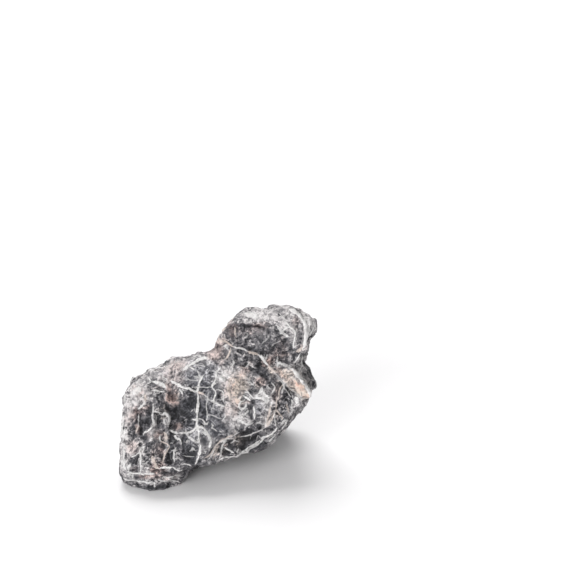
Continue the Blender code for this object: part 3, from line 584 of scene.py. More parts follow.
MIDDLE_PATCHES = (
    *patches(
        Tone.PALE,
        (6.4, 46, 4, 6, 0.8), (8.6, 39, 3.8, 5, 0.9), (7, 31, 3, 5, 0.75),
        (8.6, 22, 3.6, 4.4, 0.75), (11, 24.4, 4, 3.4, 0.5), (5.4, 32, 3, 4, 0.4),
        (12, 10, 1.4, 2.6, 0.5), (-5, 13.4, 3, 1.4, 0.4), (1.8, 50, 4.4, 4.2, 1.0),
        (4.6, 54.6, 3, 3, 0.5), (20.6, 59.4, 2.6, 3, 0.4), (2.6, 49.4, 4, 3, 0.7),
        (9, 53, 3, 2.4, 0.5), (-0.6, 56, 1.8, 2.4, 0.6), (8, 53.6, 4, 2.4, 0.8, 15),
        (12, 47.6, 4, 6, 0.85), (18, 51, 3.4, 2.2, 0.55), (25.2, 43, 1.4, 2.6, 0.75),
        (28.4, 38, 4.4, 3.6, 1.0), (28.6, 37, 3, 3, 0.7), (41, 38.6, 5, 1.8, 0.5),
        (42, 28, 2, 2.6, 0.9), (27, 28.4, 3, 2, 0.4), (22, 38.6, 3.4, 1.4, 0.6),
        (13.2, 34, 2.4, 2.8, 0.85), (21.4, 31.6, 1.1, 2.2, 0.8), (27.6, 31.6, 3, 4, 0.7),
        (14, 27.4, 3.6, 3, 0.75), (12, 24, 3.4, 1.8, 0.75, -15), (16.6, 23, 2, 1.4, 0.6),
        (29, 27, 2, 5.6, 0.6), (26.6, 20, 1.6, 3, 0.45), (35.4, 25, 1.4, 3, 0.4),
        (4, 26, 5, 2.4, 0.35), (-2, 35, 3, 2, 0.22), (5, 67, 5, 4, 0.3), (28.6, 54.4, 2, 4, 0.7),
        (11, 65.4, 4, 1.6, 0.3), (12, 61, 3.4, 2, 0.35), (18.4, 50.6, 2.4, 1.8, 0.4),
        (10.8, 24, 3, 4.4, 0.55), (8, 18.4, 2, 1.4, 0.4), (9.6, 28, 1.8, 3.4, 0.35),
        (26.4, 28, 1.8, 1.6, 0.4), (22, 23.4, 2, 2.6, 0.4), (12.6, 12, 1.4, 5, 0.3),
        (18, 34, 2.4, 1.6, 0.45), (6, 37.4, 1.8, 2, 0.35), (15, 63, 2.4, 3, 0.3),
        (16.4, 56, 2, 2, 0.3), (25.6, 49.4, 1.8, 1.8, 0.35), (0, 63.6, 3.4, 1.8, 0.4),
        (6.6, 17.8, 2.4, 1.4, 0.3), (14.6, 72, 1.6, 3, 0.35), (1, 68, 2.6, 3.6, 0.45),
        (5.6, 58.6, 4, 2, 0.3), (33, 9.4, 4, 4, 0.8), (18.6, 44.6, 2.4, 2, 0.3),
    ),
    *patches(
        Tone.DARK,
        (1, 9, 3.4, 4.4, 0.75, 30), (19.4, 42, 2.6, 3, 0.7), (20.4, 27.4, 1.8, 3, 0.4),
        (24.6, 58.6, 2.4, 3, 0.6), (27, 51, 3.6, 2.2, 0.7, -38), (18.6, 55.6, 4, 2.4, 0.7),
        (14, 58, 4, 1.6, 0.5), (27.8, 45, 2, 1.6, 0.4), (17.6, 16.6, 1.8, 3, 0.7),
        (8.4, 46.6, 2, 1.6, 0.35), (6.6, 14, 2, 1, 0.4), (30.6, 32.6, 1.6, 2, 0.35),
        (27.4, 45, 1.6, 2, 0.3), (25, 11.4, 3, 2, 0.6), (32.4, 46.6, 2.4, 1.8, 0.5, -40),
        (15.8, 45.6, 1.8, 1.6, 0.35), (20.2, 35, 1.4, 1.7, 0.55), (17.4, 36.4, 1.6, 1, 0.4, 30),
        (19, 28, 1.3, 2.8, 0.3), (0, 39, 3, 5, 0.6), (-1, 20.6, 4, 2.4, 0.3),
        (0, 30, 3.4, 2.4, 0.15), (16.6, 13.4, 5.8, 3.8, 1.0, 25), (8, 8.6, 3, 2.2, 1.0),
        (6, 12.6, 3, 1.6, 0.5), (17, 8, 3, 2, 0.9), (19.4, 9.4, 2.4, 1.8, 0.6),
        (24, 10.6, 2, 1.4, 0.4), (33.4, 39.4, 1.6, 2, 0.4), (10.4, 38.6, 1.6, 1.4, 0.3),
        (12.4, 30.6, 1.4, 1.4, 0.4), (17, 38.8, 2, 1, 0.3), (33.6, 39, 1.8, 2.4, 0.5),
        (8, 65, 2.4, 1.6, 0.4), (31, 15, 1.8, 1.6, 0.6), (12.6, 31, 1.4, 1.6, 0.5),
        (34.6, 30.4, 2.6, 2, 0.5), (6, 6, 3, 2.6, 0.9), (27, 9.2, 3.4, 1.6, 1.0, 12),
        (20.8, 6.8, 3.6, 1.3, 0.8, 15), (18.4, 16.6, 5, 3.4, 1.0, 12), (25.4, 20.6, 2, 1.8, 0.7),
        (38.2, 21.2, 1.4, 1.4, 0.6), (39.2, 40, 2.8, 3.6, 0.5), (43, 43, 2.6, 1.4, 0.6, -40),
        (37.6, 29.4, 1.8, 2, 0.6),
    ),
    *patches(
        Tone.PINK,
        (5.6, 45, 4.2, 8, 0.6), (10.4, 35.6, 2.6, 3.6, 0.5), (5.4, 30, 2.8, 5, 0.45),
        (14, 54, 4, 3, 0.8, 20), (18.6, 58, 1.2, 2.6, 0.6, -30), (24.6, 48.2, 3.6, 2.4, 0.95, -20),
        (28.8, 26, 2.2, 5, 0.5), (35, 40, 2.4, 6, 0.7), (3, 12, 4, 4, 0.4), (10.4, 30.4, 2, 3, 0.5),
    ),
    *patches(
        Tone.OCHRE,
        (2, 8, 3.4, 4.4, 0.7), (12.4, 35.6, 3, 3, 0.5), (14, 46, 4, 4, 0.6), (24, 45.6, 3, 3, 0.5),
        (10.4, 44, 4.4, 8, 0.8), (12, 13.4, 5, 4, 0.85), (14, 52, 5, 3, 0.3),
    ),
    *patches(
        Tone.BROWN,
        (8.6, 45.6, 1.6, 3.4, 0.25), (25, 49.4, 2.4, 1, 0.4), (17.2, 36, 1.8, 1.4, 0.7, 30),
        (33.4, 29, 2.4, 4, 0.45), (-0.6, 5.4, 3, 2.8, 0.35), (-6, 4, 2.4, 2, 0.2),
        (33, 37, 1.6, 4, 0.3),
    ),
)

CROWN_PATCHES = (
    *patches(
        Tone.PALE,
        (18.6, 88.4, 5, 4, 1.0), (27, 86, 6, 2.6, 1.0), (30, 90.4, 5, 2.2, 0.8),
        (35, 85, 4.6, 4, 0.75), (42, 87, 4, 4, 1.0), (46.4, 80, 2.4, 3.4, 0.9),
        (40.6, 79, 3, 3, 0.5), (47, 77.6, 1.4, 3, 0.55), (52.2, 80, 2, 9, 0.75),
        (56.4, 83, 2.6, 5, 0.62), (52.6, 86.6, 5, 3, 0.95, -30), (44.6, 71, 2, 4, 0.6),
        (6, 83.4, 1.2, 6, 0.45, -36), (14.6, 76, 2.4, 2, 0.3), (19, 77.6, 1.8, 1.6, 0.4),
        (28.4, 79.6, 1.6, 2, 0.5), (38.8, 64, 2.4, 2.4, 0.5), (46, 55.4, 2.6, 1.6, 0.4),
        (48, 56, 2.4, 2, 0.4), (32.6, 59, 3, 2.6, 0.45), (38, 50.4, 3.4, 1.6, 0.7, -42),
        (43.4, 46, 3.6, 1.8, 0.6, -42), (48, 42, 3.2, 1.8, 0.8, -42), (53, 85, 2.6, 3, 1.0),
        (41.6, 82, 2, 3, 0.5), (22.4, 85.4, 5, 1.4, 0.7), (37, 71, 2, 2.4, 0.35),
        (45, 80.4, 2.2, 2, 0.45), (44.6, 56, 3.4, 2.2, 0.95), (37.6, 54.4, 4, 2, 0.5, -30),
        (38.8, 70, 1.8, 3, 0.4), (51, 87.2, 3.4, 1.6, 0.9, -40), (13.4, 74, 1.8, 1.8, 0.35),
        (32.6, 76, 2, 2.4, 0.3), (50.6, 87, 3.6, 1.4, 0.9, -36), (30.4, 63, 2.4, 1.8, 0.35),
        (40, 92.4, 8, 1.6, 0.8), (26, 91, 5, 1.6, 0.6), (38.8, 63, 2, 2, 0.3),
        (43.4, 49.4, 3, 2.6, 0.75, -40), (49, 45, 4, 3, 0.7, -45), (52.4, 40, 2.6, 2, 0.85),
        (49.6, 50, 4.6, 1.4, 0.9, -50), (41.6, 57, 5, 1.2, 0.75, -14), (46.6, 36.4, 1.8, 3.8, 1.0),
        (32, 76, 1.8, 1.8, 0.4), (49.6, 55, 2.4, 2.6, 0.5),
    ),
    *patches(
        Tone.DARK,
        (34, 79.4, 3, 1.4, 0.5), (20, 66, 2.4, 1.8, 0.3), (28, 64.4, 2.4, 1.6, 0.3),
        (34, 82.4, 2.6, 1.4, 0.4), (23, 80.8, 3, 1.6, 0.6), (45.4, 62, 2, 2, 0.4),
        (50.2, 80, 1.6, 2, 0.4), (44, 35.4, 1.4, 2, 0.35), (28, 66.6, 2, 1.6, 0.3),
        (24.4, 63, 1.8, 1.8, 0.45), (20, 66.4, 2, 1, 0.35), (43.6, 49.8, 2, 1.4, 0.4, -40),
        (39, 79, 2.4, 1.4, 0.35), (40.6, 47.4, 2.4, 1.4, 0.3, -40), (25, 65.4, 1.8, 2, 0.3),
        (37.4, 88, 1.8, 1.8, 0.3), (41, 78.4, 3, 1.4, 0.4), (47.2, 84.4, 1.6, 2, 0.75),
        (36.6, 88, 2, 2, 0.4), (28, 73.4, 2.4, 1.8, 0.4), (16, 83, 2, 1.8, 0.4),
        (37.4, 46, 2.4, 1.8, 0.75), (38.6, 61, 4, 2, 0.6), (36.6, 50.6, 2.6, 1.6, 0.5, -35),
        (10, 80, 3.8, 3.8, 0.5), (17, 81.4, 4, 1.8, 0.5), (21, 66.6, 4.4, 2.6, 0.6),
        (31, 67.6, 3.4, 3.4, 0.6), (38.4, 71.6, 3, 3.6, 0.6), (45.4, 52.2, 1.5, 1.2, 0.35),
        (31.6, 61.4, 1.9, 1.9, 0.5), (50.2, 79, 0.8, 5, 0.3), (46, 64, 3, 2.4, 0.6),
        (55.4, 51, 2.2, 5, 0.35), (58.4, 46, 1.6, 3, 0.7), (3, 66.2, 2.4, 2, 0.15),
    ),
    *patches(
        Tone.PINK,
        (44, 48.6, 8, 3.4, 0.2, -42), (49, 45.4, 3.2, 2.6, 0.65, -40), (37, 53, 4, 1.8, 0.6, -30),
        (18, 78.4, 6.4, 3.2, 0.5), (46, 85, 3, 4, 0.5), (51.6, 76, 2, 7, 0.25),
        (49, 68.4, 2.4, 2, 0.7), (5, 82, 2, 6, 0.4, -36),
    ),
    *patches(
        Tone.OCHRE,
        (49.6, 44.6, 4, 4, 0.9), (50.6, 41.4, 4.4, 2.6, 1.0, -40), (43, 49, 6, 2.4, 0.55, -38),
        (39.6, 53, 5, 2, 0.85, -15), (53, 40, 2.4, 2.4, 1.0), (44, 44.6, 4, 1.8, 0.9, -42),
        (35, 45, 3, 4, 0.6), (31, 53.4, 4, 1.8, 0.7, -38), (45.8, 53, 3, 1.6, 0.7, -40),
        (36, 66, 8, 5, 0.25),
    ),
    *patches(
        Tone.BROWN,
        (52.4, 40, 2.4, 1.8, 0.5), (44.6, 48.4, 4, 1.6, 0.35, -40), (47.4, 46.6, 1.2, 1.2, 0.5),
        (8.6, 79, 4, 4.6, 0.7), (35.4, 56.6, 2.4, 0.8, 0.5, -10), (36, 64, 7, 4.6, 0.5),
        (28.4, 59.6, 3, 3.6, 0.8), (36.6, 72, 4, 4, 0.4), (24, 81.6, 6, 2.2, 0.65),
    ),
)

# Patches for the sides, back, top and underside, which the front drawing doesn't reach
DRIFTS = {
    Tone.DARK: Drift(Cloud(15.0, 1.0, 20, 3), -0.1, 0.5, 0.9),
    Tone.PALE: Drift(Cloud(13.0, 1.0, 21, 3), 0.0, 0.6, 0.8),
    Tone.PINK: Drift(Cloud(18.0, 1.0, 22, 3), 0.05, 0.6, 0.75),
    Tone.BROWN: Drift(Cloud(14.0, 1.0, 23, 3), 0.25, 0.7, 0.7),
    Tone.OCHRE: Drift(Cloud(20.0, 1.0, 24, 3), 0.4, 0.8, 0.5),
    Tone.SLATE: Drift(Cloud(17.0, 1.0, 25, 3), 0.0, 0.5, 0.8),
}


@dataclass(frozen=True)
class Drawing:
    """The front drawing that veins and patches are laid on."""

    sight: float = SIGHT
    settled: tuple = SETTLED

    def up(self) -> np.ndarray:
        """The drawing's upward direction."""
        tilt = math.radians(self.sight)
        return np.array((0.0, math.sin(tilt), math.cos(tilt)))

    def near(self) -> np.ndarray:
        """The direction out of the drawing, towards the viewer."""
        tilt = math.radians(self.sight)
        return np.array((0.0, -math.cos(tilt), math.sin(tilt)))

    def flat(self, places: np.ndarray) -> np.ndarray:
        """How far right and up each place shows."""
        found = places + np.array(self.settled)
        return np.column_stack((found[:, 0], found @ self.up()))

    def facing(self, ways: np.ndarray) -> np.ndarray:
        """How squarely each direction faces the viewer, -1 to 1."""
        return ways @ self.near()


class Skin:
    """Places and outward directions of a mesh's vertices."""

    def __init__(self, mesh: bpy.types.Mesh) -> None:
        """Reads a mesh.

        Args:
            mesh: The mesh, in metres.
        """
        self.mesh = mesh
        flat = np.empty(len(mesh.vertices) * 3)
        mesh.vertices.foreach_get("co", flat)
        self.places = flat.reshape(-1, 3) / MM
        edges = np.empty(len(mesh.edges) * 2, dtype=int)
        mesh.edges.foreach_get("vertices", edges)
        self.edges = edges.reshape(-1, 2)
        self.share = np.bincount(edges, minlength=len(mesh.vertices)) + 1.0
        self.ways = self.outward()

    def spread(self, values: np.ndarray, rounds: int) -> np.ndarray:
        """Averages values with their neighbours.

        Args:
            values: One row for each place.
            rounds: How many times to do it.

        Returns:
            The averaged values.
        """
        first, second = self.edges[:, 0], self.edges[:, 1]
        for _ in range(rounds):
            total = values.copy()
            for axis in range(values.shape[1]):
                total[:, axis] += np.bincount(first, values[second, axis], len(values))
                total[:, axis] += np.bincount(second, values[first, axis], len(values))
            values = total / self.share[:, None]
        return values

    def outward(self, rounds: int = 2) -> np.ndarray:
        """Outward directions of the places as they are now.

        Args:
            rounds: How many times they are smoothed.

        Returns:
            A direction of length one for each place.
        """
        self.write()
        ways = np.empty(len(self.places) * 3, dtype=np.float32)
        self.mesh.vertex_normals.foreach_get("vector", ways)
        ways = self.spread(ways.reshape(-1, 3).astype(float), rounds)
        return ways / np.maximum(np.linalg.norm(ways, axis=1, keepdims=True), LEAST_LENGTH)

    def crests(self, rounds: int) -> np.ndarray:
        """How far each place stands out from the skin around it, smoothed over some rounds."""
        smooth = self.spread(self.places, rounds)
        return np.einsum("ij,ij->i", self.places - smooth, self.outward(rounds))

    def write(self) -> None:
        """Puts the places back into the mesh."""
        self.mesh.vertices.foreach_set("co", (self.places * MM).ravel())
        self.mesh.update()

    def note(self, name: str, values: np.ndarray) -> None:
        """Writes values to the mesh as a named attribute.

        Args:
            name: The attribute's name.
            values: One number or three for each place.
        """
        kind, key = ("FLOAT_VECTOR", "vector") if values.ndim == 2 else ("FLOAT", "value")
        layer = self.mesh.attributes.new(name, kind, "POINT")
        layer.data.foreach_set(key, values.astype(np.float32).ravel())


@dataclass
class VeinField:
    """Nearest drawn vein or sheet at every place, for one ore, in half widths of the vein."""

    ore: Ore
    count: int
    # How far from a vein's middle it is still felt, and its half width as a share of the drawn one
    far: float = 9.0
    half_width: float = 0.58
    # The share of a vein's length in which it narrows to its end, and how narrow it gets
    end: float = 0.16
    end_width: float = 0.12
    # How a sheet rolls, trembles and breaks off, and how thin it is where it is broken
    roll: Cloud = Cloud(24.0, 1.0, 30, 3)
    roll_room: float = 2.0
    tremble: Cloud = Cloud(4.0, 0.5, 50, 2)
    broken: Cloud = Cloud(17.0, 1.0, 70, 2)
    broken_edge: tuple = (-0.25, 0.05)
    broken_width: float = 0.1
    # How squarely the skin has to cut a sheet to show all its width, and the least it shows
    grazing: float = 0.6
    grazing_width: float = 0.15
    core_edge: tuple = (0.5, 1.6)
    offset: np.ndarray = field(init=False)
    away: np.ndarray = field(init=False)
    bright: np.ndarray = field(init=False)

    def __post_init__(self) -> None:
        """Starts with no vein near any place."""
        self.offset = np.zeros((self.count, 2))
        self.offset[:, 0] = self.far
        self.away = np.full(self.count, self.far)
        self.bright = np.zeros(self.count)

    def take(self, rows: np.ndarray, offset: np.ndarray, bright: float) -> None:
        """Keeps the offsets that are nearer than what the field holds.

        Args:
            rows: The places that the offsets belong to.
            offset: Offset from the vein's middle.
            bright: The vein's brightness.
        """
        away = np.linalg.norm(offset, axis=1)
        nearer = away < self.away[rows]
        rows = rows[nearer]
        self.offset[rows] = offset[nearer]
        self.away[rows] = away[nearer]
        self.bright[rows] = bright

    def draw(self, flat: np.ndarray, shown: np.ndarray, swell: np.ndarray, vein: Vein) -> None:
        """Lays one vein of the front drawing.

        Args:
            flat: Right and up of every place.
            shown: Which places face the drawing.
            swell: Factor on the width at every place.
            vein: The vein.
        """
        path = np.array(vein.path, float)
        reach = self.far * vein.width / 2.0
        low, high = path.min(axis=0) - reach, path.max(axis=0) + reach
        rows = np.nonzero(shown & np.all((flat > low) & (flat < high), axis=1))[0]
        steps = np.diff(path, axis=0)
        lengths = np.linalg.norm(steps, axis=1)
        total = lengths.sum()
        done = 0.0
        for begin, step, length in zip(path, steps, lengths):
            offset = flat[rows] - begin
            along = np.clip(offset @ step / length ** 2, 0.0, 1.0)
            offset = offset - along[:, None] * step
            part = (done + along * length) / total
            taper = np.sqrt(np.clip(np.minimum(part, 1.0 - part) / self.end, self.end_width, 1.0))
            half = vein.width * self.half_width * swell[rows] * taper
            self.take(rows, offset / half[:, None], vein.bright)
            done += length

    def run(self, places: np.ndarray, ways: np.ndarray, swell: np.ndarray, hidden: np.ndarray,
            sheet: Sheet, number: int) -> None:
        """Runs one sheet through the stone, where the drawing doesn't reach.

        Args:
            places: Every place.
            ways: Outward direction at every place.
            swell: Factor on the width at every place.
            hidden: Which places the drawing doesn't reach.
            sheet: The sheet.
            number: Which sheet it is, for its noise.
        """
        facing = np.array(Vector(sheet.facing).normalized())
        rows = np.nonzero(hidden)[0]
        level = (places[rows] - np.array(sheet.point)) @ facing
        reach = self.far * sheet.width / 2.0 + sheet.wave * self.roll_room
        close = np.abs(level) < reach
        rows, level = rows[close], level[close]
        level = level + sheet.wave * self.roll.at(places[rows], number)
        level += self.tremble.at(places[rows], number)
        across = np.sqrt(np.maximum(1.0 - (ways[rows] @ facing) ** 2, 0.0))
        half = sheet.width / 2.0 * swell[rows]
        half = half * np.clip(across / self.grazing, self.grazing_width, 1.0)
        whole = fade(self.broken.at(places[rows], number), *self.broken_edge)
        half = half * np.maximum(whole, self.broken_width)
        self.take(rows, np.column_stack((level / half, np.zeros(len(rows)))), sheet.bright)

    def write(self, skin: Skin) -> None:
        """Writes the field to the mesh."""
        skin.note(self.ore.value, np.column_stack((self.offset, self.away)))
        skin.note(self.ore.value + "_bright", self.bright)

    def core(self) -> np.ndarray:
        """A vein's brightness in its middle, 0 outside."""
        return (1.0 - fade(self.away, *self.core_edge)) * self.bright


@dataclass
class Markings:
    """Where the stone's veins and patches lie."""

    drawing: Drawing
    veins: tuple
    sheets: tuple
    patches: tuple
    drifts: dict
    smoothing: int = 3
    # How squarely the skin has to face the drawing for veins, for no sheets, and for patches
    shown_from: float = 0.08
    hidden_to: float = 0.16
    patch_from: tuple = (0.0, 0.2)
    # Where the skin is steeper than this a vein is drawn thinner, down to the least width
    steep: float = 0.45
    steep_width: float = 0.15
    # How a vein's width changes along it, and how veins and patches stray from the drawing
    swelling: Cloud = Cloud(3.5, 0.45, 5, 2)
    swell_limits: tuple = (0.45, 1.6)
    vein_sway: tuple = (Cloud(3.0, 0.35, 7, 2), Cloud(1.2, 0.16, 9, 2))
    patch_sway: tuple = (Cloud(6.0, 1.2, 12, 2), Cloud(2.2, 0.9, 17, 2))
    patch_softness: float = 0.75
    fields: dict = field(init=False, default_factory=dict)
    tones: dict = field(init=False, default_factory=dict)

    def lay(self, skin: Skin) -> None:
        """Works out every vein and patch for the skin's places.

        Args:
            skin: The skin that the markings are for.
        """
        ways = skin.outward(self.smoothing)
        facing = self.drawing.facing(ways)
        flat = self.drawing.flat(skin.places)
        swell = np.clip(1.0 + self.swelling.at(skin.places), *self.swell_limits)
        slimmed = swell * np.clip(facing / self.steep, self.steep_width, 1.0)
        drawn = flat + sum(cloud.sway(skin.places) for cloud in self.vein_sway)
        self.fields = {ore: VeinField(ore, len(flat)) for ore in Ore}
        for vein in self.veins:
            self.fields[vein.ore].draw(drawn, facing > self.shown_from, slimmed, vein)
        hidden = facing < self.hidden_to
        for number, sheet in enumerate(self.sheets):
            self.fields[Ore.CALCITE].run(skin.places, ways, swell, hidden, sheet, number)
        loose = flat + sum(cloud.sway(skin.places) for cloud in self.patch_sway)
        front = fade(facing, *self.patch_from)
        for tone in Tone:
            off_front = (1.0 - front) * self.drifts[tone].at(skin.places)
            self.tones[tone] = front * self.blot(loose, tone) + off_front

    def blot(self, flat: np.ndarray, tone: Tone) -> np.ndarray:
        """The drawn patches of one tone.

        Args:
            flat: Right and up of every place.
            tone: The tone.

        Returns:
            0 to 1 at every place.
        """
        found = np.zeros(len(flat))
        for patch in self.patches:
            if patch.tone is not tone:
                continue
            turn = math.radians(patch.turn)
            axes = np.array(((math.cos(turn), -math.sin(turn)), (math.sin(turn), math.cos(turn))))
            offset = (flat - np.array((patch.right, patch.up))) @ axes
            offset = offset / np.array((patch.wide, patch.high))
            inside = np.exp(-self.patch_softness * np.einsum("ij,ij->i", offset, offset))
            found = 1.0 - (1.0 - found) * (1.0 - patch.strength * inside)
        return found

    def write(self, skin: Skin) -> None:
        """Writes the veins and patches to the mesh.

        Args:
            skin: The skin that they were laid for.
        """
        for kind in self.fields.values():
            kind.write(skin)
        for tone, values in self.tones.items():
            skin.note(tone.value, values)


@dataclass(frozen=True)
class Scars:
    """Hollow scars of broken-off flakes: how many, their tilt, how hollow, and their draw."""

    count: int
    tilt: float
    hollow: float
    draw: int
    meeting: int = 4

    def heights(self, skin: Skin) -> np.ndarray:
        """Scars that meet at sharp ridges.

        Args:
            skin: The skin that they are for.

        Returns:
            Height at every place.
        """
        pick = np.random.RandomState(self.draw)
        chosen = pick.choice(len(skin.places), self.count, replace=False)
        tilt = self.tilt * pick.normal(size=(self.count, 3))
        tree = tree_of(skin.places[chosen])
        near = np.array([[row for _, row, _ in tree.find_n(place, self.meeting)]
                         for place in skin.places])
        found = np.full(len(skin.places), np.inf)
        for rows in near.T:
            offset = skin.places - skin.places[chosen[rows]]
            height = np.einsum("ij,ij->i", offset, tilt[rows])
            height += self.hollow * np.einsum("ij,ij->i", offset, offset)
            found = np.minimum(found, height)
        return found


@dataclass(frozen=True)
class Bedding:
    """Thin ledges where the skin cuts across the bedding, each bed standing out by its own bit."""

    thick: float = 2.4
    depth: float = 0.55
    # How the beds roll, and how their edges fray along the bedding
    roll: Cloud = Cloud(16.0, 1.1, 3, 3)
    ragged: Cloud = Cloud(7.0, 0.6, 4, 2)
    stretched: float = 0.2
    # How far beds stand out from each other, how far each leans, and where they show
    jut: float = 1.6
    lean: float = 0.5
    shows: tuple = (0.2, 0.7)
    # Numbers that turn a bed's number into a value of its own
    shuffle: tuple = (12.9898, 43758.5453)

    def heights(self, skin: Skin) -> np.ndarray:
        """The ledges' heights.

        Args:
            skin: The skin that they are for.

        Returns:
            Height at every place.
        """
        bed = np.array(BED) / np.linalg.norm(BED)
        across = 1.0 - np.abs(skin.ways @ bed)
        level = skin.places @ bed + self.roll.at(skin.places)
        along = skin.places * self.stretched + level[:, None] * bed
        step = level / self.thick + self.ragged.at(along)
        number = np.floor(step)
        mixed = np.sin(number * self.shuffle[0]) * self.shuffle[1]
        stand = mixed - np.floor(mixed) - 0.5
        ledge = stand * self.jut + self.lean * (0.5 - (step - number))
        return self.depth * ledge * fade(across, *self.shows)


@dataclass(frozen=True)
class Flutes:
    """Upright flutes down the left of the front: their noise, and where they die out."""

    shape: Cloud = Cloud(3.4, 0.75, 6, 3)
    stretched: float = 0.28
    level: float = 0.3
    ends: tuple = (-30.0, -18.0)

    def heights(self, flat: np.ndarray) -> np.ndarray:
        """The flutes' heights.

        Args:
            flat: Right and up of every place.

        Returns:
            Height at every place.
        """
        left = 1.0 - fade(flat[:, 0], *self.ends)
        upright = np.column_stack((flat[:, 0], flat[:, 1] * self.stretched, np.zeros(len(flat))))
        return left * self.shape.ridges(upright, self.level)


@dataclass(frozen=True)
class Pits:
    """Small round pits: how many are tried, their sizes, and how likely each is to be there."""

    tries: int = 620
    radius: tuple = (0.7, 2.2)
    shrunk: tuple = (0.6, 1.0)
    depth: tuple = (0.25, 0.5)
    lip: float = 1.3
    chance: float = 0.3
    chance_off_front: float = 0.7
    chance_in_brown: float = 0.3
    filled_by_vein: float = 0.8
    draw: int = 8

    def press(self, skin: Skin, marks: Markings, front: np.ndarray) -> None:
        """Presses the pits, and none into clean breaks or veins.

        Args:
            skin: The skin, changed in place.
            marks: Veins and patches.
            front: How squarely each place faces the drawing.
        """
        pick = np.random.RandomState(self.draw)
        spots = pick.choice(len(skin.places), self.tries, replace=False)
        tree = tree_of(skin.places)
        sunk = np.zeros(len(skin.places))
        for spot in spots:
            radius = pick.uniform(*self.radius) * pick.uniform(*self.shrunk)
            depth = radius * pick.uniform(*self.depth)
            chance = self.chance + self.chance_off_front * (1.0 - front[spot])
            chance += self.chance_in_brown * marks.tones[Tone.BROWN][spot]
            if pick.uniform() > chance * (1.0 - marks.tones[Tone.DARK][spot]):
                continue
            reach = radius * self.lip
            for _, row, away in tree.find_range(skin.places[spot], reach):
                bowl = 1.0 - (away / reach) ** 2
                sunk[row] = max(sunk[row], depth * bowl)
        sunk *= 1.0 - np.clip(marks.fields[Ore.CALCITE].core(), 0.0, self.filled_by_vein)
        skin.places -= sunk[:, None] * skin.ways


@dataclass(frozen=True)
class Relief:
    """Everything that is worked into the fine skin, from small breaks down to pits."""

    smoothing: int = 3
    way_smoothing: int = 3
    front_smoothing: int = 4
    scars: tuple = (Scars(480, 0.070, 0.010, 7), Scars(2600, 0.11, 0.030, 8))
    lumps: tuple = (Cloud(7.5, 0.34, 1, 3), Cloud(2.8, 0.18, 2, 3))
    lump_level: float = 0.32
    bedding: Bedding = Bedding()
    flutes: Flutes = Flutes()
    pits: Pits = Pits()
    front_from: tuple = (0.2, 0.6)
    # How much calmer the skin is in dark slabs and ochre crusts, and the least that is left
    dark_calm: float = 0.75
    ochre_calm: float = 0.5
    calmest: float = 0.15
    front_bedding: float = 0.6
    # How far veins and pale crusts stand out, and how far dark clefts sink
    vein_rise: tuple = ((Ore.CALCITE, 0.14), (Ore.RUST, 0.07))
    pale_rise: float = 0.4
    pale_grain: Cloud = Cloud(2.4, 1.0, 14, 3)
    pale_edge: tuple = (-0.3, 0.3)
    dark_sink: float = 1.2
    dark_edge: tuple = (0.35, 0.65)

    def work(self, skin: Skin, marks: Markings) -> None:
        """Works the whole relief into the skin.

        Args:
            skin: The skin, changed in place.
            marks: Veins and patches, laid beforehand.
        """
        facing = marks.drawing.facing(skin.outward(self.front_smoothing))
        front = fade(facing, *self.front_from)
        skin.ways = skin.outward(self.way_smoothing)
        dark, pale = marks.tones[Tone.DARK], marks.tones[Tone.PALE]
        calm = 1.0 - self.dark_calm * dark * front - self.ochre_calm * marks.tones[Tone.OCHRE]
        rough = sum(scars.heights(skin) for scars in self.scars)
        for lump in self.lumps:
            rough += lump.ridges(skin.places, self.lump_level)
        rough *= np.clip(calm, self.calmest, 1.0)
        rough += self.bedding.heights(skin) * (1.0 - self.front_bedding * front)
        rough += self.flutes.heights(marks.drawing.flat(skin.places)) * front
        for ore, rise in self.vein_rise:
            rough += rise * marks.fields[ore].core()
        rough += self.pale_rise * pale * fade(self.pale_grain.at(skin.places), *self.pale_edge)
        rough -= self.dark_sink * fade(dark, *self.dark_edge) * front
        skin.places += rough[:, None] * skin.ways
        self.pits.press(skin, marks, front)


